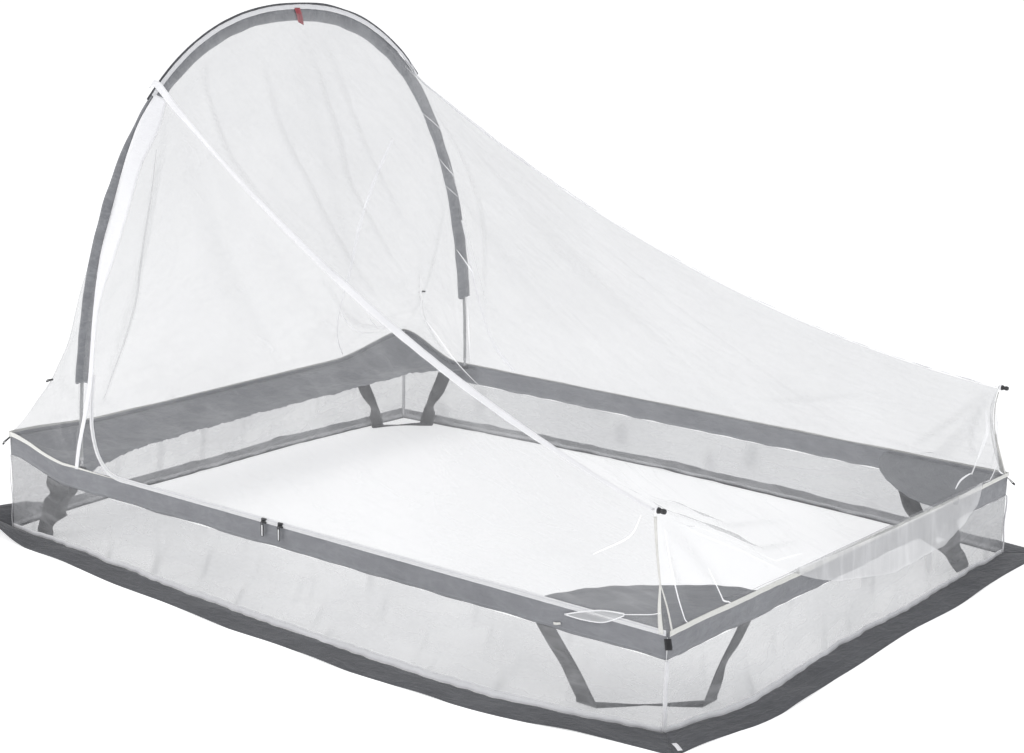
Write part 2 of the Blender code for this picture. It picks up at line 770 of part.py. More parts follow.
def build_apex_tab():
    """Red webbing tab that hangs in front of the sleeve at the top of the hoop, with a cut end."""
    x = X_HOOP + SLEEVE_HALF_THICKNESS + GAP + WEBBING / 2
    top = HOOP_Z + HOOP_RISE + SEAM_RADIAL - 2 * SEAM
    half = APEX_TAB_WIDTH / 2
    left = []
    right = []
    for share in (0.0, 0.5, 1.0):
        z = top - APEX_TAB_LENGTH * share
        low = z - (APEX_TAB_POINT if share == 1.0 else 0.0)
        left.append(Vector((x, -half, z)))
        right.append(Vector((x, half, low)))
    sheet("apex_tab", [left, right], WEBBING, "red")


def seam_on_hoop(angle, x):
    return hoop_point(angle, SEAM_RADIAL, x)


def crossing(sign):
    """Point where a ridge leaves the hoop, on the foot side of the sleeve."""
    angle = CROSSING_ANGLE if sign < 0 else math.pi - CROSSING_ANGLE
    return seam_on_hoop(angle, X_SEAM_FOOT)


def ridge_end(sign):
    height = TIP_HEIGHT_NEAR if sign < 0 else TIP_HEIGHT_FAR
    return Vector((X_FOOT - TIP_INSET, sign * HALF_WIDTH, height))


def ridge(sign, share):
    """Sagging ridge from the hoop to the foot corner; sign is -1 on the near side."""
    sag = RIDGE_SAG_NEAR if sign < 0 else RIDGE_SAG_FAR
    point = crossing(sign).lerp(ridge_end(sign), share)
    point.z -= sag * 4 * share * (1 - share)
    return point


def foot_edge_lift(height):
    """How far towards the ridge ends' place the foot edge leans at this height, from 0 to 1."""
    start = RIM_HEIGHT + FOOT_EDGE_LEAN_RISE
    return smooth_step((height - start) / (TIP_HEIGHT_FAR - start))


def foot_edge(share):
    """Edge of the foot panel: from one ridge end down over the rim and up to the other."""
    near = ridge_end(-1)
    far = ridge_end(1)
    middle = [RIM_HEIGHT * height_share for height_share in FOOT_EDGE_HEIGHT_SHARES]
    height = shares_at([near.z] + middle + [far.z], share)
    y = lerp(near.y, far.y, share)
    return Vector((lerp(X_FOOT + FOOT_EDGE_OUT, near.x, foot_edge_lift(height)), y, height))


def drape_cap(y):
    """Height over which the net passes where it drapes outside over the rim."""
    return rim_height(X_FOOT, y) + FOOT_LIFT + FOOT_LIP + SEAM


def crest(share):
    """Line along which the top panel turns down at the foot, just outside the foot panel."""
    edge = foot_edge(share)
    out = lerp(DRAPE_STAND, -SEAM, foot_edge_lift(edge.z))
    return Vector((edge.x + out, edge.y, max(edge.z, drape_cap(edge.y))))


def drape_end(share):
    """Lower edge of the top panel: a short lip at the ridge ends, a deep drape between them."""
    edge = foot_edge(share)
    top = crest(share)
    height = min(edge.z, top.z - FOOT_LIP)
    out = DRAPE_OUT * smooth_step((top.z - height - FOOT_LIP) / RIM_HEIGHT * 4)
    return Vector((top.x + out, top.y, height))


def fold(u, v, starts, ends, half_width):
    """Height of the main folds: ridges that run from a share on one edge to a share on the other."""
    total = 0.0
    for start, end in zip(starts, ends):
        away = (v - lerp(start, end, u)) / half_width
        total += math.exp(-away * away)
    window = math.sin(math.pi * u) * math.sin(math.pi * v)
    return FOLD_HEIGHT * total * window


def top_point(u, v):
    """Top panel: between the hoop, the two ridges and the foot edge."""
    inset = Vector((0, SEAM, 0))
    near = ridge(-1, u) + inset
    far = ridge(1, u) - inset
    angle = lerp(CROSSING_ANGLE, math.pi - CROSSING_ANGLE, v)
    hoop = seam_on_hoop(angle, X_SEAM_FOOT) + inset * (1 - 2 * v)
    foot = crest(v) + inset * (1 - 2 * v)
    corner_a = ridge(-1, 0) + inset
    corner_b = ridge(1, 0) - inset
    corner_c = ridge(-1, 1) + inset
    corner_d = ridge(1, 1) - inset
    flat = near * (1 - v) + far * v + hoop * (1 - u) + foot * u
    flat -= corner_a * ((1 - u) * (1 - v)) + corner_b * ((1 - u) * v)
    flat -= corner_c * (u * (1 - v)) + corner_d * (u * v)
    window = math.sin(math.pi * u) * math.sin(math.pi * v)
    folds = fold(u, v, TOP_FOLD_START_SHARES, TOP_FOLD_END_SHARES, TOP_FOLD_HALF_WIDTH_SHARE)
    flat.z += folds - TOP_SAG * window
    return flat


def side_point(sign, u, v):
    """Side panel: v goes from the rim up to the ridge, u from the hoop's leg to the foot corner."""
    top = ridge(sign, u) - Vector((0, 0, SEAM))
    foot_x = foot_seam(sign, v).x - SEAM
    x = lerp(X_SEAM_FOOT, foot_x, u)
    base = rim_height(x, HALF_WIDTH) + GAP
    z = lerp(base, top.z, v)
    y = lerp(HALF_WIDTH, abs(top.y), v)
    leg_angle = height_angle(max(0.0, z - HOOP_Z))
    leg = abs(seam_on_hoop(leg_angle, X_SEAM_FOOT).y)
    leg = min(leg, HALF_WIDTH)
    leg = lerp(HALF_WIDTH, leg, smooth_step(4 * v))
    stay = math.exp(-(x - X_SEAM_FOOT) / LEG_RELAX_RUN) * (1 - v**6)
    y += (leg - y) * stay * (1 - smooth_step(u))
    window = math.sin(math.pi * v) * math.sin(math.pi * u)
    y -= SIDE_SAG * window
    y += fold(u, v, SIDE_FOLD_START_SHARES, SIDE_FOLD_END_SHARES, SIDE_FOLD_HALF_WIDTH_SHARE)
    return Vector((x, sign * y, z))


def foot_seam(sign, v):
    """Corner seam at the foot, from the rim up to the end of the ridge."""
    low = Vector((X_FOOT, sign * HALF_WIDTH, RIM_HEIGHT))
    point = low.lerp(ridge_end(sign), v)
    point.x -= FOOT_SEAM_BOW * 4 * v * (1 - v)
    return point


def foot_column(u):
    """Points of the foot panel from the rim to its edge: straight up, or over the rim and down."""
    edge = foot_edge(u)
    edge.y += SEAM * (1 - 2 * u)
    rim = rim_height(X_FOOT, edge.y)
    lift = foot_edge_lift(edge.z)
    if edge.z < drape_cap(edge.y):
        edge.z = min(edge.z + SEAM, rim + FOOT_LIFT - FOOT_LIP)
    else:
        edge.z = max(edge.z - FOOT_LIP - SEAM, rim + FOOT_LIFT + SEAM)
    knee_height = rim + FOOT_LIFT + lift * (edge.z - rim) / FOOT_ROWS
    knee = Vector((X_FOOT + FOOT_EDGE_OUT * (1 - lift), edge.y, knee_height))
    column = [Vector((X_FOOT, edge.y, rim + GAP)), Vector((X_FOOT, edge.y, rim + FOOT_LIFT))]
    sign = 1 if u > 0.5 else -1
    tip = ridge_end(sign)
    for row in range(2, FOOT_ROWS + 1):
        column.append(knee.lerp(edge, (row - 2) / (FOOT_ROWS - 2)))
    for point in column:
        seam = foot_seam(sign, (point.z - RIM_HEIGHT) / (tip.z - RIM_HEIGHT))
        point.x = lerp(point.x, seam.x, lift)
    return column


HEAD_SEAM_ANGLE = height_angle(HEAD_SEAM_HEIGHT)
HEAD_START_ANGLE = height_angle(HEAD_START_HEIGHT)


def head_edges(u_leg, u_head, far):
    """Point on the hoop and point on the rim that one column of the head wall joins."""
    if u_head is None:
        angle = lerp(HEAD_START_ANGLE, HEAD_SEAM_ANGLE, u_leg)
        x = lerp(X_SEAM_HEAD, X_HEAD, u_leg)
        low = Vector((x, -HALF_WIDTH, 0))
        sag = CORNER_SAG * u_leg
    else:
        angle = lerp(HEAD_SEAM_ANGLE, math.pi - HEAD_SEAM_ANGLE, u_head)
        low = Vector((X_HEAD, lerp(-HALF_WIDTH, HALF_WIDTH, u_head), 0))
        sag = lerp(CORNER_SAG, HEAD_SAG, math.sin(math.pi * u_head))
    low.z = rim_height(low.x, low.y) + GAP
    top = seam_on_hoop(angle, X_SEAM_HEAD)
    if far:
        top.y = -top.y
        low.y = -low.y
    return top, low, sag


def head_point(column, v):
    top, low, sag = column
    point = top.lerp(low, v)
    reach = math.sin(math.pi * v) * sag
    point.x += reach
    point.y -= math.copysign(reach * abs(point.y) / HALF_WIDTH / 2, point.y)
    return point


def head_columns():
    near = [head_edges(k / RIM_LEG_STEPS, None, False) for k in range(RIM_LEG_STEPS)]
    middle = [head_edges(None, k / RIM_END_STEPS, False) for k in range(RIM_END_STEPS + 1)]
    far = [head_edges(k / RIM_LEG_STEPS, None, True) for k in range(RIM_LEG_STEPS)]
    return near + middle + far[::-1]


def build_upper_net():
    rows = []
    for r in range(TOP_ROWS + 1):
        v = r / TOP_ROWS
        row = [top_point(c / TOP_STEPS, v) for c in range(TOP_STEPS + 1)]
        low = drape_end(v) + Vector((0, SEAM * (1 - 2 * v), 0))
        rows.append(row + [row[-1].lerp(low, 0.5), low])
    sheet("net_top", rows, NET, "net")
    for sign, name in ((-1, "net_door"), (1, "net_far")):
        rows = []
        for r in range(SIDE_ROWS + 1):
            rows.append([side_point(sign, c / SIDE_STEPS, r / SIDE_ROWS) for c in range(SIDE_STEPS + 1)])
        sheet(name, rows, NET, "net")
    foot_columns = [foot_column(c / TOP_ROWS) for c in range(TOP_ROWS + 1)]
    sheet("net_foot", foot_columns, NET, "net", False)
    columns = head_columns()
    rows = [[head_point(column, r / HEAD_ROWS) for column in columns] for r in range(HEAD_ROWS + 1)]
    sheet("net_head", rows, NET, "net")


def seam_tape(name, points, inward_pairs, width, finish="tape"):
    """Flat tape over a seam: its plane faces away from the two panels that meet there."""
    left = []
    right = []
    for k, point in enumerate(points):
        ahead = points[min(k + 1, len(points) - 1)]
        behind = points[max(k - 1, 0)]
        tangent = (ahead - behind).normalized()
        first, second = inward_pairs[k]
        outward = -(first.normalized() + second.normalized())
        outward = (outward - tangent * outward.dot(tangent)).normalized()
        across = tangent.cross(outward).normalized()
        middle = point + outward * (GAP + CLOTH / 2)
        left.append(middle - across * (width / 2))
        right.append(middle + across * (width / 2))
    sheet(name, [left, right], CLOTH, finish)


def build_ridge_tapes():
    for sign, name in ((-1, "ridge_tape_near"), (1, "ridge_tape_far")):
        points = []
        pairs = []
        for k in range(TAPE_STEPS + 1):
            last = ridge_length() - 2 * SEAM
            share = lerp(RIDGE_TAPE_START, last, k / TAPE_STEPS) / ridge_length()
            point = ridge(sign, share)
            v = 0.0 if sign < 0 else 1.0
            step = 1 / TOP_ROWS
            top_side = top_point(share, abs(v - step)) - top_point(share, v)
            low_side = side_point(sign, share, 1 - 1 / SIDE_ROWS) - side_point(sign, share, 1)
            points.append(point)
            pairs.append((top_side, low_side))
        seam_tape(name, points, pairs, RIDGE_TAPE_WIDTH)


def ridge_length():
    return (ridge_end(-1) - crossing(-1)).length


def build_foot_seams():
    for sign, name in ((-1, "foot_seam_near"), (1, "foot_seam_far")):
        points = []
        pairs = []
        column = foot_column(0.0 if sign < 0 else 1.0)
        low = RIM_HEIGHT + ZIP_TAPE_WIDTH / 2 + SEAM
        high = ridge_end(sign).z - RIDGE_TAPE_WIDTH / 2
        heights = [low] + [point.z for point in column if low + SEAM < point.z < high - SEAM] + [high]
        for height in heights:
            point = foot_seam(sign, (height - RIM_HEIGHT) / (ridge_end(sign).z - RIM_HEIGHT))
            points.append(point + Vector((GAP, sign * GAP, 0)) / 2)
            pairs.append((Vector((-1, 0, 0)), Vector((0, -sign, 0))))
        seam_tape(name, points, pairs, FOOT_SEAM_WIDTH)


def build_edge_tape():
    """White tape outside the rim: near side from the zip to the head, round the head, far and foot."""
    half = EDGE_TAPE_WIDTH / 2
    route = []
    corner = TAPE_STAND
    steps = TAPE_STEPS // 2
    for k in range(steps + 1):
        x = lerp(X_HEAD + EDGE_TAPE_START, X_HEAD - corner, k / steps)
        route.append(Vector((x, -HALF_WIDTH - corner, 0)))
    for k in range(1, steps + 1):
        route.append(Vector((X_HEAD - corner, lerp(-HALF_WIDTH - corner, HALF_WIDTH + corner, k / steps), 0)))
    for k in range(1, steps + 1):
        route.append(Vector((lerp(X_HEAD - corner, X_FOOT + corner, k / steps), HALF_WIDTH + corner, 0)))
    for k in range(1, steps + 1):
        route.append(Vector((X_FOOT + corner, lerp(HALF_WIDTH + corner, -HALF_WIDTH, k / steps), 0)))
    low = []
    high = []
    for point in route:
        point.z = rim_height(point.x, point.y)
        low.append(point - Vector((0, 0, half)))
        high.append(point + Vector((0, 0, half)))
    sheet("edge_tape", [low, high], CLOTH, "tape")


def zip_route():
    """Middle of the zip in X and Z: down beside the hoop's leg, round, and along the rim."""
    centre_x = -ZIP_CURVE_END
    centre_z = RIM_HEIGHT + ZIP_CURVE_HEIGHT
    route = []
    for k in range(ZIP_CURVE_STEPS + 1):
        angle = math.pi / 2 * k / ZIP_CURVE_STEPS
        x = centre_x - ZIP_CURVE_LENGTH * math.cos(angle)
        z = centre_z - ZIP_CURVE_HEIGHT * math.sin(angle)
        route.append((x, z))
    end = X_FOOT - ZIP_FOOT_END
    for k in range(1, ZIP_RUN_STEPS + 1):
        route.append((lerp(centre_x, end, k / ZIP_RUN_STEPS), RIM_HEIGHT))
    return route


def door_column(u):
    """Points of the door panel's mesh on the line at this share, from the rim up."""
    place = u * SIDE_STEPS
    low = min(int(place), SIDE_STEPS - 1)
    part = place - low
    column = []
    for r in range(SIDE_ROWS + 1):
        first = side_point(-1, low / SIDE_STEPS, r / SIDE_ROWS)
        second = side_point(-1, (low + 1) / SIDE_STEPS, r / SIDE_ROWS)
        column.append(first.lerp(second, part))
    return column


def near_surface(x, z, stand):
    """Point outside the near side at this X and Z, standing off the door panel or the band."""
    column = door_column((x - X_SEAM_FOOT) / (X_FOOT - SEAM - X_SEAM_FOOT))
    if z <= column[0].z:
        return Vector((x, -HALF_WIDTH - stand, z))
    for low, high in zip(column, column[1:]):
        if z <= high.z:
            y = lerp(low.y, high.y, (z - low.z) / (high.z - low.z))
            return Vector((x, y - stand, z))
    return Vector((x, column[-1].y - stand, z))


def zip_ribbon(name, route, width, stand, thickness, finish):
    rows = [[], [], []]
    for k, (x, z) in enumerate(route):
        ahead = route[min(k + 1, len(route) - 1)]
        behind = route[max(k - 1, 0)]
        along = Vector((ahead[0] - behind[0], 0, ahead[1] - behind[1])).normalized()
        across = Vector((-along.z, 0, along.x)) * (width / 2)
        for row, side in zip(rows, (-1, 0, 1)):
            row.append(near_surface(x + across.x * side, z + across.z * side, stand))
    sheet(name, rows, thickness, finish)


def build_zip():
    route = zip_route()
    zip_ribbon("zip_tape", route, ZIP_TAPE_WIDTH, TAPE_STAND, CLOTH, "tape")
    stand = TAPE_STAND + CLOTH / 2 + GAP + COIL_THICKNESS / 2
    x, z = route[-1]
    route[-1] = (x - COIL_END, z)
    zip_ribbon("zip_coil", route, COIL_HEIGHT, stand, COIL_THICKNESS, "tape")


def hide_helper(helper):
    helper.hide_render = True
    helper.display_type = "WIRE"


def join_shape(made, helper, operation):
    boolean = made.modifiers.new(helper.name, "BOOLEAN")
    boolean.operation = operation
    boolean.solver = "EXACT"
    boolean.object = helper
    hide_helper(helper)


def box(name, low, high, finish, origin=None):
    """A box between two corners, with its origin at a joint if one is given."""
    origin = origin or Vector()
    spans = ((low.x, high.x), (low.y, high.y), (low.z, high.z))
    corners = [Vector((x, y, z)) - origin for x in spans[0] for y in spans[1] for z in spans[2]]
    faces = [(0, 1, 3, 2), (4, 6, 7, 5), (0, 4, 5, 1), (2, 3, 7, 6), (0, 2, 6, 4), (1, 5, 7, 3)]
    made = make_object(name, corners, faces, finish)
    made.location = origin
    point_faces_out(made)
    return made


def rod(name, start, end, radius, sides, finish, origin=None, side_axis=None):
    """A straight round bar between two points."""
    origin = origin or Vector()
    axis = (end - start).normalized()
    first = side_axis or (Vector((0, 0, 1)) if abs(axis.z) < 0.9 else Vector((1, 0, 0)))
    first = (first - axis * first.dot(axis)).normalized()
    second = axis.cross(first)
    rings = []
    for centre in (start, end):
        ring = []
        for s in range(sides):
            turn = 2 * math.pi * (s + 0.5) / sides
            spoke = first * math.cos(turn) + second * math.sin(turn)
            ring.append(centre + spoke * radius - origin)
        rings.append(ring)
    made = ring_solid(name, rings, finish)
    made.location = origin
    return made


TAPE_FACE = HALF_WIDTH + TAPE_STAND + CLOTH / 2
SLIDER_BACK = TAPE_FACE + GAP
SLIDER_FRONT = SLIDER_BACK + SLIDER_DEPTH
BAIL_Y = -(SLIDER_FRONT + BAIL_STAND)


def build_slider(name, x):
    """Zip slider: a saddle over the coil, with a small bail on its front for the pull."""
    z = RIM_HEIGHT
    half = SLIDER_LENGTH / 2
    low = Vector((x - half, -SLIDER_FRONT, z - SLIDER_HEIGHT / 2))
    high = Vector((x + half, -SLIDER_BACK, z + SLIDER_HEIGHT / 2))
    body = box(name, low, high, "black")
    bevel = body.modifiers.new("edges", "BEVEL")
    bevel.width = SLIDER_BEVEL
    bevel.segments = 1
    channel_front = -SLIDER_BACK - SLIDER_CHANNEL_DEPTH
    channel_low = Vector((x - SLIDER_LENGTH, channel_front, z - SLIDER_CHANNEL_HEIGHT / 2))
    channel_high = Vector((x + SLIDER_LENGTH, -TAPE_FACE, z + SLIDER_CHANNEL_HEIGHT / 2))
    join_shape(body, box(name + "_channel", channel_low, channel_high, "black"), "DIFFERENCE")
    sunk = -(SLIDER_FRONT - SLIDER_BEVEL)
    for end in (-1, 1):
        post = x + end * (BAIL_LENGTH / 2 - BAIL_POST / 2)
        post_low = Vector((post - BAIL_POST / 2, BAIL_Y - BAIL_RADIUS, z - BAIL_RADIUS))
        post_high = Vector((post + BAIL_POST / 2, sunk, z + BAIL_RADIUS))
        join_shape(body, box(f"{name}_post_{end}", post_low, post_high, "black"), "UNION")
    start = Vector((x - BAIL_LENGTH / 2 + BAIL_POST / 2, BAIL_Y, z))
    bar_end = Vector((x + BAIL_LENGTH / 2 - BAIL_POST / 2, BAIL_Y, z))
    bar = rod(name + "_bar", start, bar_end, BAIL_RADIUS * BAIL_BAR_SHARE, BAIL_SIDES, "black")
    join_shape(body, bar, "UNION")


def build_pull(name, x):
    """Pull that hangs from the bail: an eye, a slim shaft and a ring to hold."""
    pivot = Vector((x, BAIL_Y, RIM_HEIGHT))
    half = PULL_THICKNESS / 2
    across = Vector((half, 0, 0))
    eye = rod(name, pivot - across, pivot + across, PULL_EYE_OUTER, PULL_SIDES, "tape", pivot)
    shaft_top = pivot.z - (PULL_EYE_OUTER + PULL_EYE_INNER) / 2
    shaft_end = pivot.z - PULL_SHAFT_LENGTH
    shaft_low = Vector((x - half * PULL_SHAFT_SHARE, BAIL_Y - half, shaft_end))
    shaft_high = Vector((x + half * PULL_SHAFT_SHARE, BAIL_Y + half, shaft_top))
    join_shape(eye, box(name + "_shaft", shaft_low, shaft_high, "tape"), "UNION")
    ring_centre = Vector((x, BAIL_Y, shaft_end - PULL_RING_OUTER + half))
    thick = Vector((0, half * PULL_RING_SHARE, 0))
    ring = rod(name + "_ring", ring_centre - thick, ring_centre + thick, PULL_RING_OUTER, PULL_SIDES, "tape")
    join_shape(eye, ring, "UNION")
    overrun = Vector((PULL_THICKNESS, 0, 0))
    hole = rod(name + "_eye_hole", pivot - overrun, pivot + overrun, PULL_EYE_INNER, PULL_SIDES, "tape")
    join_shape(eye, hole, "DIFFERENCE")
    deep = Vector((0, PULL_THICKNESS, 0))
    inside = PULL_RING_INNER
    ring_hole = rod(name + "_ring_hole", ring_centre - deep, ring_centre + deep, inside, PULL_SIDES, "tape")
    join_shape(eye, ring_hole, "DIFFERENCE")


def tab(name, root, along, face, length, width, thickness, finish="black"):
    """Small folded webbing tab: root is the middle of its fixed end, along its direction."""
    along = along.normalized()
    face = (face - along * face.dot(along)).normalized()
    across = along.cross(face)
    points = []
    for a in (0, length):
        for w in (-width / 2, width / 2):
            for t in (-thickness / 2, thickness / 2):
                points.append(root + along * a + across * w + face * t)
    faces = [(0, 1, 3, 2), (4, 6, 7, 5), (0, 4, 5, 1), (2, 3, 7, 6), (0, 2, 6, 4), (1, 5, 7, 3)]
    made = make_object(name, points, faces, finish)
    point_faces_out(made)
    bevel = made.modifiers.new("edges", "BEVEL")
    bevel.width = TAB_BEVEL
    bevel.segments = 1
    return made


def build_tabs():
    for x_sign, x_name in ((-1, "head"), (1, "foot")):
        for y_sign, y_name in ((-1, "near"), (1, "far")):
            out = Vector((x_sign, y_sign, 0)).normalized()
            corner = Vector((x_sign * LENGTH / 2, y_sign * WIDTH / 2, 0))
            corner.z = rim_height(corner.x, corner.y)
            drop = EDGE_TAPE_WIDTH / 2 + CORNER_TAB_THICKNESS
            root = corner + out * SEAM - Vector((0, 0, drop))
            along = out - Vector((0, 0, CORNER_TAB_SLOPE))
            face = Vector((0, 0, 1))
            tab(
                f"corner_tab_{x_name}_{y_name}",
                root,
                along,
                face,
                CORNER_TAB_LENGTH,
                CORNER_TAB_WIDTH,
                CORNER_TAB_THICKNESS,
            )
    for far, name in ((False, "guy_tab_near"), (True, "guy_tab_far")):
        column = head_edges(1.0, None, far)
        point = head_point(column, GUY_TAB_SHARE)
        sign = 1 if far else -1
        down = head_point(column, GUY_TAB_SHARE + 1 / HEAD_ROWS) - point
        out = Vector((-1, sign, 0)).normalized()
        out = (out - down * (out.dot(down) / down.length_squared)).normalized()
        root = point + out * (NET + SEAM)
        tab(name, root, out, Vector((0, 0, 1)), GUY_TAB_LENGTH, GUY_TAB_WIDTH, GUY_TAB_THICKNESS)
    for sign, name in ((-1, "ridge_end_near"), (1, "ridge_end_far")):
        start = ridge_end(sign) + Vector((GAP, 0, RIDGE_END_RADIUS / 2))
        rings = []
        for share, radius_share in zip(RIDGE_END_PLACE_SHARES, RIDGE_END_RADIUS_SHARES):
            radius = RIDGE_END_RADIUS * radius_share
            centre = start + Vector((RIDGE_END_LENGTH * share, 0, 0))
            ring = []
            for s in range(RIDGE_END_SIDES):
                turn = 2 * math.pi * s / RIDGE_END_SIDES
                ring.append(centre + Vector((0, radius * math.cos(turn), radius * math.sin(turn))))
            rings.append(ring)
        ring_solid(name, rings, "black")


def build_straps():
    foot = (STRAP_TOP_FOOT_SIDE, STRAP_FLOOR_FOOT_SIDE, STRAP_TOP_FOOT_END, STRAP_FLOOR_FOOT_END)
    head = (STRAP_TOP_HEAD_SIDE, STRAP_FLOOR_HEAD_SIDE, STRAP_TOP_HEAD_END, STRAP_FLOOR_HEAD_END)
    for x_sign, x_name, places in ((-1, "head", head), (1, "foot", foot)):
        for y_sign, y_name in ((-1, "near"), (1, "far")):
            build_strap(f"{x_name}_{y_name}", Vector((x_sign, y_sign, 0)), places)


def main():
    clear_scene()
    for side in SIDES:
        build_skirt(side)
        build_wall_net(side)
        build_band(side)
    build_head_panel()
    build_gusset("near")
    build_gusset("far")
    build_straps()
    build_pole()
    build_tip("pole_tip_near", False)
    build_tip("pole_tip_far", True)
    build_seat("pole_seat_near", -1)
    build_seat("pole_seat_far", 1)
    build_sleeve()
    build_sleeve_tape()
    build_apex_tab()
    build_upper_net()
    build_ridge_tapes()
    build_foot_seams()
    build_edge_tape()
    build_zip()
    build_slider("zip_slider_head", SLIDER_HEAD_PLACE)
    build_slider("zip_slider_foot", SLIDER_FOOT_PLACE)
    build_pull("zip_pull_head", SLIDER_HEAD_PLACE)
    build_pull("zip_pull_foot", SLIDER_FOOT_PLACE)
    build_tabs()
    print("hoop axis height", round(HOOP_Z, 5), "pole length", round(HOOP_LENGTH, 4))


main()
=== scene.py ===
# %% [markdown]
# # Mosquito net tent for two
# One tall hoop stands near the head end and holds up a cloud of white net. A grey band goes round the rim, a lower net
# drops from it to a dark skirt on the floor, and a zip on the near side is the door. This lesson builds the looks of
# that tent around its imported CAD frame. The frame is loaded first and never moved. Nearly everything here is fabric,
# so most steps write a sheet's points, give it a thickness, and let a woven material do the rest.

# %% Load the imported frame
import math

import bmesh
import bpy
import numpy as np
from mathutils import Matrix, Vector


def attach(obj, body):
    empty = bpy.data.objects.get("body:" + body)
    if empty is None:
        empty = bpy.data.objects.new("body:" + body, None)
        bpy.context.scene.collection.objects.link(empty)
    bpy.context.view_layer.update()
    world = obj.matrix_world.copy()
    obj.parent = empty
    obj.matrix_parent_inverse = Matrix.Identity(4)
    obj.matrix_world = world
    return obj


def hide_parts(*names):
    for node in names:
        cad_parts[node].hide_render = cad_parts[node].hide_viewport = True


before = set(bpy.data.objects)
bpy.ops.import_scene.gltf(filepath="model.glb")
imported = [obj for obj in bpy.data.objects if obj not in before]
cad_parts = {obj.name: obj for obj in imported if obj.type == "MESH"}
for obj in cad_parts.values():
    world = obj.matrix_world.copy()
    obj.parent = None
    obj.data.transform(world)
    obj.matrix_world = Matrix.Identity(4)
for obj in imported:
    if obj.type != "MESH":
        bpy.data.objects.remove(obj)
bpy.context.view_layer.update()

bpy.ops.object.select_all(action="DESELECT")

# %% [markdown]
# The camera comes first, because every piece is judged from it. It stands outside the foot end
# on the near side, a little above the hoop, and uses a long lens, so the tent's sides run nearly
# parallel. Its place and turn came from the rim's corners and the hoop. The three axes of the
# camera are written out, since a roll of one degree is easy to lose in an aim constraint.

# %% Camera
CAMERA_PLACE = Vector((3.146, -3.985, 1.650))
CAMERA_YAW = math.radians(38.18)
CAMERA_DOWN = math.radians(13.54)
CAMERA_ROLL = math.radians(1.10)
CAMERA_LENS = 73.96


def place_camera():
    level = math.cos(CAMERA_DOWN)
    ahead = Vector((-math.sin(CAMERA_YAW) * level, math.cos(CAMERA_YAW) * level, -math.sin(CAMERA_DOWN)))
    right = ahead.cross(Vector((0, 0, 1))).normalized()
    up = right.cross(ahead)
    rolled_right = right * math.cos(CAMERA_ROLL) + up * math.sin(CAMERA_ROLL)
    rolled_up = up * math.cos(CAMERA_ROLL) - right * math.sin(CAMERA_ROLL)
    turn = Matrix((rolled_right, rolled_up, -ahead)).transposed()
    lens = bpy.data.cameras.new("camera")
    lens.lens = CAMERA_LENS
    camera = bpy.data.objects.new("camera", lens)
    camera.matrix_world = Matrix.Translation(CAMERA_PLACE) @ turn.to_4x4()
    bpy.context.scene.collection.objects.link(camera)
    bpy.context.scene.camera = camera
    return camera


print("camera at", tuple(place_camera().location))

# %% [markdown]
# White net only shows against something a little brighter than itself. So the studio is a pale floor under an even
# white sky, and two broad soft lamps give the cloth its folds. The floor is one large plane, which isn't part of the
# tent. Bright values are shown as they are, with the plain view, so that white stays white.

# %% Studio
SKY_COLOUR = (0.965, 0.975, 1.0, 1.0)
SKY_STRENGTH = 0.62
LAMPS = (
    ("key", (-2.6, -4.6, 4.2), 3.2, 84.0, (1.0, 0.985, 0.965)),
    ("fill", (4.6, -1.2, 3.4), 3.0, 26.0, (0.95, 0.975, 1.0)),
)
LAMP_AIM = Vector((0, 0, 0.3))
FLOOR_SIZE = 160.0
FLOOR_FINISH = {
    "Base Color": (0.90, 0.90, 0.90, 1.0),
    "Roughness": 0.9,
    "Emission Color": (1.0, 1.0, 1.0, 1.0),
    "Emission Strength": 0.55,
}


def set_plain(shader, values):
    """Sets what is the same all over a surface, on the shader's own sockets."""
    for socket, value in values.items():
        shader.inputs[socket].default_value = value


def hang_lamp(name, place, size, power, colour):
    lamp = bpy.data.lights.new(name, "AREA")
    lamp.size = size
    lamp.energy = power
    lamp.color = colour
    holder = bpy.data.objects.new(name, lamp)
    holder.location = place
    holder.rotation_mode = "QUATERNION"
    holder.rotation_quaternion = (LAMP_AIM - Vector(place)).to_track_quat("-Z", "Y")
    bpy.context.scene.collection.objects.link(holder)


def build_studio():
    bpy.context.scene.view_settings.view_transform = "Standard"
    world = bpy.data.worlds.new("sky")
    world.use_nodes = True
    set_plain(world.node_tree.nodes["Background"], {"Color": SKY_COLOUR, "Strength": SKY_STRENGTH})
    bpy.context.scene.world = world
    for lamp in LAMPS:
        hang_lamp(*lamp)
    bpy.ops.mesh.primitive_plane_add(size=FLOOR_SIZE, location=(0, 0, 0))
    floor = bpy.context.object
    floor.name = "floor"
    paint = bpy.data.materials.new("pale_floor")
    paint.use_nodes = True
    set_plain(paint.node_tree.nodes["Principled BSDF"], FLOOR_FINISH)
    floor.data.materials.append(paint)
    floor.select_set(False)
    return floor


print("floor:", build_studio().dimensions[:2])

# %% [markdown]
# Every surface below is worked out from a few sizes of the real tent: its length and width, the
# height of the rim where the band meets the net, and the hoop's curve. They are the CAD frame's
# own numbers, repeated here because the frame is loaded as plain meshes.

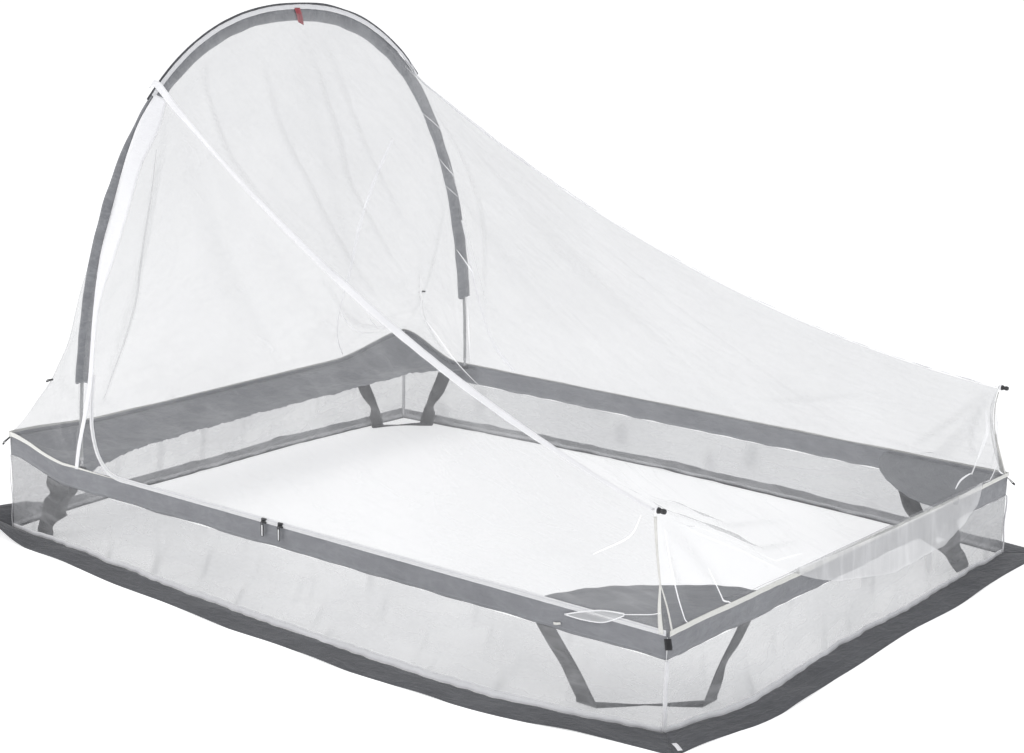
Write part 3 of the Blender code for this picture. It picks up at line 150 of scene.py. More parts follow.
# %% Sizes of the tent, in metres
X_HEAD = -1.0
X_FOOT = 1.0
HALF_WIDTH = 0.75
RIM_HEIGHT = 0.209
HEAD_RISE = 0.024
HEAD_RISE_RUN = 0.215
CORNER_RISE_NEAR = 0.016
CORNER_RISE_FAR = 0.045
CORNER_RISE_RUN = 0.320
BAND_DEPTH = 0.056
SEAM = 0.0008
GAP = 0.0004
CLOTH = 0.0008
WEBBING = 0.0012
X_HOOP = -0.746
X_SEAM_FOOT = -0.7378
X_SEAM_HEAD = -0.7542
HOOP_HALF_WIDTH = 0.735
HOOP_FOOT = 0.2092
HOOP_RISE = 1.066
HOOP_POWER = 2.28
SEAM_RADIAL = 0.004
CROSSING_HALF_WIDTH = 0.455
TIP_X = 0.960
TIP_NEAR = 0.450
TIP_FAR = 0.422
RIDGE_SAG_NEAR = 0.090
RIDGE_SAG_FAR = 0.118
FOOT_SEAM_BOW_NEAR = 0.006
FOOT_SEAM_BOW_FAR = 0.026
FOOT_FOLD_HEIGHTS = (0.450, 0.372, 0.297, 0.222, 0.165, 0.132, 0.107, 0.107, 0.122, 0.205, 0.422)
print("hoop's top at", round(HOOP_FOOT + HOOP_RISE, 4))


# %% Small helpers for shares, tables and arrays of points
def mix(a, b, share):
    return a + (b - a) * share


def ease(share):
    share = np.clip(share, 0.0, 1.0)
    return share * share * (3 - 2 * share)


def spline_table(table, share):
    """Value of an evenly spaced table, read along a smooth curve through its entries."""
    table = np.asarray(table, float)
    place = np.clip(np.asarray(share, float), 0.0, 1.0) * (len(table) - 1)
    low = np.minimum(place.astype(int), len(table) - 2)
    part = place - low
    before = table[np.maximum(low - 1, 0)]
    first = table[low]
    second = table[low + 1]
    after = table[np.minimum(low + 2, len(table) - 1)]
    bend = second - before + part * (2 * before - 5 * first + 4 * second - after)
    bend = bend + part * part * (3 * (first - second) + after - before)
    return first + part * bend / 2


def points(x, y, z):
    return np.stack(np.broadcast_arrays(np.asarray(x, float), y, z), axis=-1)


def unit(vectors):
    return vectors / np.maximum(np.linalg.norm(vectors, axis=-1, keepdims=True), 1e-12)


def lengths_along(path):
    """Distance along a path, from its start to each of its points."""
    return np.concatenate([[0.0], np.cumsum(np.linalg.norm(np.diff(path, axis=0), axis=1))])


def read_between(at, places, rows):
    """Rows of a table, read between its entries column by column."""
    return np.stack([np.interp(at, places, column) for column in rows.T], axis=-1)


def share_grid(rows, columns):
    """Shares from 0 to 1, down the rows of a grid and along its columns."""
    return np.meshgrid(np.linspace(0, 1, rows), np.linspace(0, 1, columns), indexing="ij")


PATH_FINENESS = 8


def smooth_path(corners, count):
    """Evenly spread points on a smooth curve through a few given ones."""
    corners = np.asarray(corners, float)
    share = np.linspace(0.0, 1.0, count * PATH_FINENESS)
    fine = np.stack([spline_table(column, share) for column in corners.T], axis=-1)
    along = lengths_along(fine)
    return read_between(np.linspace(0.0, along[-1], count), along, fine)


print("halfway through a table of 0, 1, 4:", float(spline_table((0, 1, 4), 0.5)))


# %% [markdown]
# The rim is the line that all the fabric hangs from. It is level along the sides and climbs at
# the head end, most at the far corner. The hoop is a superellipse, which is rounder at the
# shoulders than a plain arch: a springy pole bent between two feet looks so.

# %% Rim and hoop
def rim_height(x, y):
    climb = ease((X_HEAD + HEAD_RISE_RUN - x) / HEAD_RISE_RUN)
    corner = ease((np.abs(y) - HALF_WIDTH + CORNER_RISE_RUN) / CORNER_RISE_RUN)
    rise = np.where(np.asarray(y) < 0, CORNER_RISE_NEAR, CORNER_RISE_FAR)
    return RIM_HEIGHT + climb * (HEAD_RISE + rise * corner)


def hoop_axis(angle, x):
    cosine = np.cos(angle)
    y = -HOOP_HALF_WIDTH * np.sign(cosine) * np.abs(cosine) ** (2 / HOOP_POWER)
    return points(x, y, HOOP_FOOT + HOOP_RISE * np.abs(np.sin(angle)) ** (2 / HOOP_POWER))


def hoop_outward(angle, x):
    """Direction that leads outwards, square to the hoop's curve and in its plane."""
    step = math.pi / 2000
    low = np.maximum(angle - step, step / 8)
    high = np.minimum(angle + step, math.pi - step / 8)
    return np.cross([1.0, 0.0, 0.0], unit(hoop_axis(high, x) - hoop_axis(low, x)))


def hoop_line(angle, x=X_HOOP, stand=0.0):
    """Points on the hoop, from the near foot at 0 to the far foot at pi, moved out by stand."""
    angle = np.asarray(angle, float)
    return hoop_axis(angle, x) + hoop_outward(angle, x) * np.asarray(stand)[..., None]


def angle_at_height(height):
    return np.arcsin(np.clip(height / HOOP_RISE, 0.0, 1.0) ** (HOOP_POWER / 2))


CROSSING_ANGLE = math.acos((CROSSING_HALF_WIDTH / (HOOP_HALF_WIDTH + SEAM_RADIAL)) ** (HOOP_POWER / 2))
HOOP_ANGLES = np.linspace(0.0, math.pi, 4001)
HOOP_LENGTHS = lengths_along(hoop_axis(HOOP_ANGLES, X_HOOP))


def crossing_angle(sign):
    """Where a ridge meets the hoop; sign is -1 on the near side and 1 on the far one."""
    return CROSSING_ANGLE if sign < 0 else math.pi - CROSSING_ANGLE


print("pole length", round(float(HOOP_LENGTHS[-1]), 3), "crossing at", round(CROSSING_ANGLE, 3))


# %% [markdown]
# Two ridges run from the hoop's shoulders down to the foot corners. Nothing but the net holds
# them up, so each one sags, the far one more. Between their ends the net drops over the foot
# rim in one deep slack fold, and its hem hangs outside the band.

# %% Ridges and the fold at the foot
FOOT_STAND = 0.0032
FOOT_RISE = 0.0100
LIP = 0.0040
LEAN_START = RIM_HEIGHT + 0.100
DRAPE_CAP = RIM_HEIGHT + FOOT_RISE + LIP + SEAM
DRAPE_SWELL = 0.005


def bowed(depth, share):
    """A parabola: 0 at both ends and the depth in the middle."""
    return depth * 4 * share * (1 - share)


def ridge_line(sign, u):
    """Sagging ridge, from the hoop at 0 to the foot corner at 1."""
    start = hoop_line(crossing_angle(sign), X_SEAM_FOOT, SEAM_RADIAL)
    end = np.array([TIP_X, sign * HALF_WIDTH, TIP_NEAR if sign < 0 else TIP_FAR])
    u = np.asarray(u, float)[..., None]
    line = mix(start, end, u)
    line[..., 2] -= bowed(RIDGE_SAG_NEAR if sign < 0 else RIDGE_SAG_FAR, u[..., 0])
    return line


def foot_lean(height):
    """How far the foot fold leans in towards the ridge ends at this height, from 0 to 1."""
    return ease((height - LEAN_START) / (TIP_FAR - LEAN_START))


def foot_fold(v):
    height = spline_table(FOOT_FOLD_HEIGHTS, v)
    return points(mix(X_FOOT + FOOT_STAND, TIP_X, foot_lean(height)), mix(-HALF_WIDTH, HALF_WIDTH, v), height)


def crest_line(v):
    """Line along which the roof turns down at the foot."""
    fold = foot_fold(v)
    fold[..., 0] += mix(0.0012, -SEAM, foot_lean(fold[..., 2]))
    fold[..., 2] = np.maximum(fold[..., 2], DRAPE_CAP)
    return fold


def drape_hem(v):
    """Lower edge of the roof's net: a short lip at the ridge ends, a deep drape between them."""
    top = crest_line(v)
    height = np.minimum(foot_fold(v)[..., 2], top[..., 2] - LIP)
    out = DRAPE_SWELL * ease((top[..., 2] - height - LIP) / RIM_HEIGHT * 4)
    return points(top[..., 0] + out, top[..., 1], height)


def foot_corner_seam(sign, v):
    low = np.array([X_FOOT, sign * HALF_WIDTH, RIM_HEIGHT])
    v = np.asarray(v, float)[..., None]
    line = mix(low, ridge_line(sign, 1.0), v)
    line[..., 0] -= bowed(FOOT_SEAM_BOW_NEAR if sign < 0 else FOOT_SEAM_BOW_FAR, v[..., 0])
    return line


print("near ridge's end", ridge_line(-1, 1.0).round(3), "lowest fold", float(min(FOOT_FOLD_HEIGHTS)))


# %% [markdown]
# The five panels of upper net are each a formula of two shares, u and v, that go from 0 to 1
# over the panel. That makes it easy to lay a fine grid, to draw a crease from one share to
# another, and to sew a tape on later, exactly on the same surface. The roof is a Coons patch,
# which blends its four edges. The other panels hang between two lines, with a slack of their own.

# %% Roof, side walls, foot wall and head wall as surfaces
HEAD_SEAM_ANGLE = float(angle_at_height(0.540))
HEAD_START_ANGLE = float(angle_at_height(0.030))
LEG_SHARE = 6 / 28
ROOF_SAG = 0.025
WALL_SAG = 0.018
LEG_PULL_RUN = 0.420
KNEE_STEPS = 3
HEAD_SAG_LEG = 0.048
HEAD_SAG_MIDDLE = 0.030
HEAD_SAG_POWER = 1.4


def roof_net(u, v):
    """u from the hoop to the foot, and v from the near ridge to the far one."""
    u, v = np.broadcast_arrays(np.asarray(u, float), np.asarray(v, float))
    a = u[..., None]
    b = v[..., None]
    inward = np.array([0.0, SEAM, 0.0])
    near = ridge_line(-1, u) + inward
    far = ridge_line(1, u) - inward
    angle = mix(CROSSING_ANGLE, math.pi - CROSSING_ANGLE, v)
    hoop = hoop_line(angle, X_SEAM_FOOT, SEAM_RADIAL) + inward * (1 - 2 * b)
    foot = crest_line(v) + inward * (1 - 2 * b)
    flat = near * (1 - b) + far * b + hoop * (1 - a) + foot * a
    for end, weight in ((0.0, 1 - a), (1.0, a)):
        flat -= (ridge_line(-1, end) + inward) * (weight * (1 - b)) + (ridge_line(1, end) - inward) * (weight * b)
    flat[..., 2] -= ROOF_SAG * np.sin(math.pi * u) * np.sin(math.pi * v)
    return flat


def side_net(sign, u, v):
    """u from the hoop's leg to the foot, and v from the rim up to the ridge."""
    u, v = np.broadcast_arrays(np.asarray(u, float), np.asarray(v, float))
    top = ridge_line(sign, u)
    x = mix(X_SEAM_FOOT, foot_corner_seam(sign, v)[..., 0] - SEAM, u)
    z = mix(rim_height(x, sign * HALF_WIDTH) + GAP, top[..., 2] - SEAM, v)
    y = mix(HALF_WIDTH, np.abs(top[..., 1]), v)
    leg_angle = angle_at_height(np.maximum(0.0, z - HOOP_FOOT))
    leg = np.abs(hoop_line(leg_angle, X_SEAM_FOOT, SEAM_RADIAL)[..., 1])
    leg = mix(HALF_WIDTH, np.minimum(leg, HALF_WIDTH), ease(4 * v))
    stay = np.exp(-(x - X_SEAM_FOOT) / LEG_PULL_RUN) * (1 - v**6)
    y = y + (leg - y) * stay * (1 - ease(u))
    y = y - WALL_SAG * np.sin(math.pi * v) * np.sin(math.pi * u)
    return points(x, sign * y, z)


def near_net(u, v):
    return side_net(-1, u, v)


def far_net(u, v):
    return side_net(1, u, v)


def foot_net(u, v):
    """u from the near corner to the far one, and v from the rim up to the fold."""
    u, v = np.broadcast_arrays(np.asarray(u, float), np.asarray(v, float))
    edge = foot_fold(u)
    x, z = edge[..., 0], edge[..., 2]
    y = edge[..., 1] + SEAM * (1 - 2 * u)
    lean = foot_lean(z)
    slack = np.minimum(z + SEAM, RIM_HEIGHT + 0.006)
    z = np.where(z < DRAPE_CAP, slack, np.maximum(z - 0.0048, RIM_HEIGHT + 0.0108))
    rise = RIM_HEIGHT + FOOT_RISE
    knee_z = rise + lean * (z - RIM_HEIGHT) / 5
    knee_x = X_FOOT + FOOT_STAND * (1 - lean)
    column = [(X_FOOT, RIM_HEIGHT + GAP), (X_FOOT, rise)]
    for k in range(KNEE_STEPS + 1):
        column.append((mix(knee_x, x, k / KNEE_STEPS), mix(knee_z, z, k / KNEE_STEPS)))
    place = v * (len(column) - 1)
    low = np.minimum(place.astype(int), len(column) - 2)[None]
    at = []
    for values in zip(*column):
        stack = np.stack([np.broadcast_to(value, u.shape) for value in values])
        ends = [np.take_along_axis(stack, row, 0)[0] for row in (low, low + 1)]
        at.append(mix(*ends, place - low[0]))
    climb = (at[1] - RIM_HEIGHT) / (np.where(u > 0.5, TIP_FAR, TIP_NEAR) - RIM_HEIGHT)
    bow = np.where(u > 0.5, FOOT_SEAM_BOW_FAR, FOOT_SEAM_BOW_NEAR)
    seam_x = mix(X_FOOT, TIP_X, climb) - bowed(bow, climb)
    return points(mix(at[0], seam_x, lean), y, at[1])


def head_net(u, v):
    """u goes round from the hoop's near leg to its far one, and v from the hoop down to the rim."""
    u, v = np.broadcast_arrays(np.asarray(u, float), np.asarray(v, float))
    far_leg = u > 1 - LEG_SHARE
    run = np.where(far_leg, 1 - u, u)
    leg = np.clip(run / LEG_SHARE, 0.0, 1.0)
    middle = np.clip((u - LEG_SHARE) / (1 - 2 * LEG_SHARE), 0.0, 1.0)
    on_leg = run < LEG_SHARE
    leg_angle = mix(HEAD_START_ANGLE, HEAD_SEAM_ANGLE, leg)
    angle = np.where(on_leg, leg_angle, mix(HEAD_SEAM_ANGLE, math.pi - HEAD_SEAM_ANGLE, middle))
    low_x = np.where(on_leg, mix(X_SEAM_HEAD, X_HEAD, leg), X_HEAD)
    low_y = np.where(on_leg, -HALF_WIDTH, mix(-HALF_WIDTH, HALF_WIDTH, middle))
    middle_sag = mix(HEAD_SAG_LEG, HEAD_SAG_MIDDLE, np.sin(math.pi * middle))
    sag = np.where(on_leg, HEAD_SAG_LEG * leg, middle_sag)
    top = hoop_line(angle, X_SEAM_HEAD, SEAM_RADIAL)
    mirror = np.where(far_leg, -1.0, 1.0)
    low = points(low_x, low_y, rim_height(low_x, low_y * mirror) + GAP)
    top[..., 1] *= mirror
    low[..., 1] *= mirror
    point = mix(top, low, v[..., None])
    reach = np.sin(math.pi * v**HEAD_SAG_POWER) * sag
    point[..., 0] += reach
    point[..., 1] -= np.sign(point[..., 1]) * reach * np.abs(point[..., 1]) / HALF_WIDTH / 2
    return point


print("middle of the roof", roof_net(0.5, 0.5).round(3), "of the head wall", head_net(0.5, 0.5).round(3))

# %% [markdown]
# Below the rim, the four sides share one recipe. Each side is a straight line on the plan, and
# the lower net bulges away from it towards the floor, most towards the foot on the near side.

# %% Four sides and the lower net as a surface
SIDES = {
    "near": ((X_HEAD, -HALF_WIDTH), (X_FOOT, -HALF_WIDTH), (0.0, -1.0)),
    "foot": ((X_FOOT, -HALF_WIDTH), (X_FOOT, HALF_WIDTH), (1.0, 0.0)),
    "far": ((X_HEAD, HALF_WIDTH), (X_FOOT, HALF_WIDTH), (0.0, 1.0)),
    "head": ((X_HEAD, -HALF_WIDTH), (X_HEAD, HALF_WIDTH), (-1.0, 0.0)),
}
HEM_BULGES = {
    "near": (0.082, (0.0, 0.12, 0.36, 0.62, 0.80, 0.94, 1.0, 1.0, 0.62, 0.0)),
    "foot": (0.045, (0.0, 0.85, 1.0, 0.70, 0.42, 0.40, 0.40, 0.22, 0.05, 0.0)),
    "far": (0.060, (0.0, 0.30, 0.62, 0.85, 1.0, 0.92, 0.80, 0.66, 0.40, 0.0)),
    "head": (0.030, (0.0, 0.45, 0.80, 1.0, 0.90, 0.95, 1.0, 0.75, 0.40, 0.0)),
}
HEM_FLARE = 2.2
SIDE_LENGTHS = (X_FOOT - X_HEAD, 2 * HALF_WIDTH)


def by_side(side, long, short):
    """The near and far sides take the first value, the foot and head sides the second one."""
    return long if side in ("near", "far") else short


def side_rim(side, share, inset=SEAM):
    """Points on the rim of one side, and the direction that leads outwards."""
    start, end, out = (np.array(value) for value in SIDES[side])
    along = unit(end - start)
    flat = mix(start + along * inset, end - along * inset, np.asarray(share, float)[..., None])
    x, y = flat[..., 0], flat[..., 1]
    return points(x, y, rim_height(x, y)), np.append(out, 0.0)


def hem_out(side, share):
    bulge, shares = HEM_BULGES[side]
    return bulge * spline_table(shares, share)


def lower_net(side, share, fall):
    """fall goes from 0 at the band's lower edge to 1 at the hem on the floor."""
    share, fall = np.broadcast_arrays(np.asarray(share, float), np.asarray(fall, float))
    top, out = side_rim(side, share)
    top[..., 2] -= BAND_DEPTH + SEAM
    point = top + out * (hem_out(side, share) * fall**HEM_FLARE)[..., None]
    point[..., 2] = mix(top[..., 2], CLOTH + GAP, fall)
    return point


print("widest hem", lower_net("near", 0.7, 1.0).round(3))


# %% [markdown]
# Materials are node trees, and a tree is easier to read when each node is one short call. This
# small class adds nodes to a tree and joins them. A plain number given to it is set on the
# socket; a socket given to it is linked.

# %% A short way to write node trees
class Wiring:
    def __init__(self, tree):
        self.tree = tree

    def node(self, kind, inputs=(), **settings):
        made = self.tree.nodes.new(kind)
        for key, value in settings.items():
            setattr(made, key, value)
        for key, value in dict(inputs).items():
            self.feed(made.inputs[key], value)
        return made

    def feed(self, socket, value):
        if isinstance(value, bpy.types.NodeSocket):
            self.tree.links.new(value, socket)
        else:
            socket.default_value = value

    def math(self, operation, a, b=0.0, clamp=False):
        made = self.node("ShaderNodeMath", {0: a, 1: b}, operation=operation, use_clamp=clamp)
        return made.outputs[0]

    def times(self, a, b):
        return self.math("MULTIPLY", a, b)

    def plus(self, a, b, clamp=False):
        return self.math("ADD", a, b, clamp)

    def minus(self, a, b, clamp=False):
        return self.math("SUBTRACT", a, b, clamp)

    def wave(self, place, pitch):
        """The round back of each thread: 0 between two threads and 1 on top of one."""
        return self.math("ABSOLUTE", self.math("SINE", self.times(self.math("DIVIDE", place, pitch), math.pi)))

    def crest(self, value, sharpness):
        """1 where the value is a half, and falling off on both sides."""
        return self.minus(1.0, self.times(self.math("ABSOLUTE", self.minus(value, 0.5)), sharpness), True)

    def fit(self, value, low, high, to_low=0.0, to_high=1.0):
        """The value's range from low to high, eased onto another range."""
        keys = ("Value", "From Min", "From Max", "To Min", "To Max")
        inputs = dict(zip(keys, (value, low, high, to_low, to_high)))
        return self.node("ShaderNodeMapRange", inputs, interpolation_type="SMOOTHSTEP").outputs[0]

    def blend(self, share, a, b):
        """Colour between two colours."""
        made = self.node("ShaderNodeMix", data_type="RGBA")
        for socket, value in ((0, share), (6, a), (7, b)):
            self.feed(made.inputs[socket], value)
        return made.outputs[2]

    def noise(self, vector, scale, detail=3.0, roughness=0.5):
        inputs = {"Vector": vector, "Scale": scale, "Detail": detail, "Roughness": roughness}
        return self.node("ShaderNodeTexNoise", inputs).outputs[0]

    def stretch(self, vector, scale):
        return self.node("ShaderNodeMapping", {"Vector": vector, "Scale": scale}).outputs[0]

    def axes(self, vector):
        return self.node("ShaderNodeSeparateXYZ", {0: vector}).outputs

    def read(self, name):
        return self.node("ShaderNodeAttribute", attribute_name=name).outputs["Fac"]

    def cloth_place(self):
        """Place on the cloth's own map, in metres."""
        return self.node("ShaderNodeUVMap", uv_map="cloth").outputs[0]

    def bump(self, strength, distance, height, under=None):
        """A normal that follows the height, on top of another normal if one is given."""
        inputs = {"Strength": strength, "Distance": distance, "Height": height}
        if under is not None:
            inputs["Normal"] = under
        return self.node("ShaderNodeBump", inputs).outputs[0]

    def use(self, group, **inputs):
        return self.node("ShaderNodeGroup", inputs, node_tree=group).outputs


VECTOR = "NodeSocketVector"
NUMBER = "NodeSocketFloat"


def new_effect(name, inputs, outputs):
    """An empty node group that reads a place and some numbers, and its wiring."""
    tree = bpy.data.node_groups.new(name, "ShaderNodeTree")
    tree.interface.new_socket("Vector", in_out="INPUT", socket_type=VECTOR)
    for label, value in inputs.items():
        kind = VECTOR if isinstance(value, tuple) else NUMBER
        tree.interface.new_socket(label, in_out="INPUT", socket_type=kind).default_value = value
    for label in outputs:
        tree.interface.new_socket(label, in_out="OUTPUT", socket_type=NUMBER)
    start = tree.nodes.new("NodeGroupInput")
    end = tree.nodes.new("NodeGroupOutput")
    return tree, Wiring(tree), start.outputs, end.inputs


# %% [markdown]
# Six effects cover all the fabric. A plain weave passes each thread over one and under the next.
# A net is two sets of thin threads with open holes. Grosgrain has ribs across its length. Then
# come crumples, which are what soft cloth keeps after it has been folded in its bag, a line of
# stitches at a set distance from the edge, and wear, which lightens an edge.


# %% Effects that the fabrics share
def make_plain_weave():
    tree, w, given, result = new_effect("plain_weave", {"Pitch": 0.0005}, ("Height", "Over"))
    place, pitch = w.axes(given["Vector"]), given["Pitch"]
    warp, weft = (w.wave(place[k], pitch) for k in (0, 1))
    cell = w.plus(*(w.math("FLOOR", w.math("DIVIDE", place[k], pitch)) for k in (0, 1)))
    over = w.math("FLOORED_MODULO", cell, 2.0)
    w.feed(result["Height"], w.plus(w.times(warp, w.minus(1.0, over)), w.times(weft, over)))
    w.feed(result["Over"], over)
    return tree


def make_open_mesh():
    tree, w, given, result = new_effect("open_mesh", {"Pitch": 0.0016}, ("Thread", "Height"))
    place = w.axes(given["Vector"])
    threads = [w.fit(w.wave(place[k], given["Pitch"]), 0.62, 0.0) for k in (0, 1)]
    w.feed(result["Thread"], w.math("MAXIMUM", *threads))
    w.feed(result["Height"], w.plus(*threads))
    return tree


def make_grosgrain():
    tree, w, given, result = new_effect("grosgrain", {"Pitch": 0.0012}, ("Height",))
    place = w.axes(given["Vector"])
    rib = w.wave(place[0], given["Pitch"])
    yarn = w.wave(place[1], w.times(given["Pitch"], 0.7))
    w.feed(result["Height"], w.plus(w.times(rib, 0.8), w.times(yarn, 0.2)))
    return tree


def make_crumple():
    inputs = {"Scale": 8.0, "Stretch": (1.0, 1.0, 1.0)}
    tree, w, given, result = new_effect("crumple", inputs, ("Height", "Crest"))
    stretched = w.node("ShaderNodeVectorMath", {0: given["Vector"], 1: given["Stretch"]}, operation="MULTIPLY").outputs[0]
    ridge = w.crest(w.noise(stretched, given["Scale"], 2.0), 6.0)
    crease = w.crest(w.noise(stretched, w.times(given["Scale"], 3.1), 3.0), 9.0)
    both = w.plus(w.times(ridge, 0.6), w.times(crease, 0.4))
    w.feed(result["Height"], both)
    # Crest is the square of the height. The finishes use it to paint the crumples' ridges lighter, a painted
    # highlight; the net also turns denser there.
    w.feed(result["Crest"], w.times(both, both))
    return tree


def make_stitches():
    inputs = {"Away": 0.0, "Place": 0.004, "Length": 0.0032}
    tree, w, given, result = new_effect("stitches", inputs, ("Stitch",))
    dash = w.fit(w.wave(w.axes(given["Vector"])[0], given["Length"]), 0.25, 0.55)
    off = w.math("ABSOLUTE", w.minus(given["Away"], given["Place"]))
    w.feed(result["Stitch"], w.times(dash, w.fit(off, 0.0008, 0.0003)))
    return tree


def make_edge_wear():
    tree, w, given, result = new_effect("edge_wear", {"Away": 0.0, "Reach": 0.004}, ("Wear",))
    patchy = w.noise(given["Vector"], 45.0, 4.0, 0.6)
    near_edge = w.fit(given["Away"], given["Reach"], 0.0)
    w.feed(result["Wear"], w.times(near_edge, w.fit(patchy, 0.35, 0.65)))
    return tree


PLAIN_WEAVE = make_plain_weave()
OPEN_MESH = make_open_mesh()
GROSGRAIN = make_grosgrain()
CRUMPLE = make_crumple()
STITCHES = make_stitches()
EDGE_WEAR = make_edge_wear()
print("effects:", sorted(tree.name for tree in bpy.data.node_groups))


# %% [markdown]
# The net is the hard finish. Its holes are about a millimetre and a half, far smaller than a
# pixel, so the net is mostly a thin white haze: it darkens a bright background a little and
# lightens a dark one. The alpha follows the threads, so that a close view still shows a mesh.
# Where the net is creased, more thread lies in the same place, and it turns denser. There its colour is also painted
# whiter and given a painted glow, and the crests of its soft crumples get a painted highlight.

# %% Net
NET_PITCH = 0.0016
# Strength of the painted glow on the net's pleats and deep creases: the net is no lamp.
NET_PAINTED_GLOW = 0.50
NO_LIGHT = (0.0, 0.0, 0.0, 1.0)


def new_finish(name):
    made = bpy.data.materials.new(name)
    made.use_nodes = True
    shader = made.node_tree.nodes["Principled BSDF"]
    return made, Wiring(made.node_tree), shader


def net_finish(name, colour, light, cover, thread_swing):
    """Haze of net: cover is how much of what lies behind it is hidden, swing how the threads vary it."""
    made, w, shader = new_finish(name)
    cloth = w.cloth_place()
    mesh = w.use(OPEN_MESH, Vector=cloth, Pitch=NET_PITCH)
    soft = w.use(CRUMPLE, Vector=cloth, Scale=4.0, Stretch=(0.55, 1.6, 1.0))
    crease = w.read("crease")
    cloudy = w.noise(cloth, 2.2, 3.0)
    sharp = w.fit(crease, 0.45, 0.60)
    # Painted highlight: the colour is lifted towards white on the crests of the soft crumples and along the pleats.
    lift = w.plus(w.times(soft["Crest"], 0.30), w.times(sharp, 0.90), True)
    w.feed(shader.inputs["Base Color"], w.blend(lift, colour, light))
    swing = w.times(w.minus(mesh["Thread"], 0.55), thread_swing)
    alpha = w.plus(swing, w.fit(cloudy, 0.3, 0.7, cover * 0.90, cover * 1.12))
    alpha = w.plus(alpha, w.times(soft["Crest"], cover * 0.28))
    alpha = w.plus(alpha, w.times(crease, 0.40))
    w.feed(shader.inputs["Alpha"], w.plus(alpha, w.times(sharp, 0.25), True))
    # Painted glow: pleats and deep creases give off light of their own.
    w.feed(shader.inputs["Emission Color"], w.blend(sharp, NO_LIGHT, light))
    threads = w.bump(0.25, 0.0003, mesh["Height"])
    w.feed(shader.inputs["Normal"], w.bump(0.35, 0.004, soft["Height"], threads))
    w.feed(shader.inputs["Roughness"], w.fit(mesh["Thread"], 0.0, 1.0, 0.72, 0.55))
    plain = {"Emission Strength": NET_PAINTED_GLOW, "Sheen Weight": 0.25, "Sheen Roughness": 0.4, "Specular IOR Level": 0.25}
    set_plain(shader, plain)
    return made


UPPER_NET = net_finish("white_net", (0.44, 0.445, 0.455, 1), (0.92, 0.92, 0.93, 1), 0.23, 0.12)
LOWER_NET = net_finish("white_net_lower", (0.34, 0.345, 0.355, 1), (0.90, 0.90, 0.92, 1), 0.46, 0.14)
print("net finishes:", UPPER_NET.name, LOWER_NET.name)


# %% [markdown]
# The solid fabrics are one recipe with different values. The band and the sleeve are a thin grey taffeta with a slight
# sheen. The skirt is the same cloth in a darker grey. Straps and tapes are ribbed. All of them keep soft crumples,
# whose crests and thread tops get a painted highlight, a stitched line near the edge, and an edge that has rubbed a
# little lighter. The pale tapes also get a painted glow.

# %% Woven and ribbed fabrics
STITCH_LENGTH = 0.0032
WORN_EDGE = 0.004


def fabric_finish(
    name, colour, light, weave, pitch, crumple, stitch_places, roughness, sheen, stretch=(1.0, 1.0, 1.0), glow=0.0
):
    """Crumple is the depth of its folds in metres, and how many there are to a metre."""
    made, w, shader = new_finish(name)
    cloth = w.cloth_place()
    away = w.read("hem")
    thread = w.use(weave, Vector=cloth, Pitch=pitch)["Height"]
    depth, scale = crumple
    soft = w.use(CRUMPLE, Vector=cloth, Scale=scale, Stretch=stretch)
    worn = w.use(EDGE_WEAR, Vector=cloth, Away=away, Reach=WORN_EDGE)["Wear"]
    cloudy = w.noise(cloth, 5.0, 4.0, 0.6)
    # Painted highlight: the crumples' crests and the threads' tops are lighter. The cloudy tone and the worn edge are
    # the cloth's own.
    tint = w.plus(w.times(soft["Crest"], 0.22), w.fit(cloudy, 0.25, 0.75, 0.0, 0.22))
    for value, part in ((w.read("crease"), 0.5), (worn, 0.45), (w.minus(thread, 0.5), 0.10)):
        tint = w.plus(tint, w.times(value, part), True)
    base = w.blend(tint, colour, light)
    height = thread
    for place in stitch_places:
        stitch = w.use(STITCHES, Vector=cloth, Away=away, Place=place, Length=STITCH_LENGTH)["Stitch"]
        base = w.blend(w.times(stitch, 0.6), base, light)
        height = w.minus(height, w.times(stitch, 1.6))
    w.feed(shader.inputs["Base Color"], base)
    w.feed(shader.inputs["Normal"], w.bump(0.55, depth, soft["Height"], w.bump(0.5, pitch * 0.35, height)))
    w.feed(shader.inputs["Roughness"], w.fit(thread, 0.0, 1.0, roughness + 0.08, roughness - 0.06))
    set_plain(shader, {"Sheen Weight": sheen, "Sheen Roughness": 0.35, "Specular IOR Level": 0.4})
    # Painted glow: the cloth gives off its own colour as light, though it is no lamp.
    if glow:
        w.feed(shader.inputs["Emission Color"], base)
        set_plain(shader, {"Emission Strength": glow})
    return made


def tape_finish(name, colour, light, glow, stitch=0.0018):
    """The pale tapes differ in colour, and in the strength of a painted glow that stands in for the light that reaches
    them from behind.
    """
    crumple = (0.0008, 30.0)
    return fabric_finish(name, colour, light, GROSGRAIN, 0.0011, crumple, (stitch,), 0.60, 0.15, glow=glow)


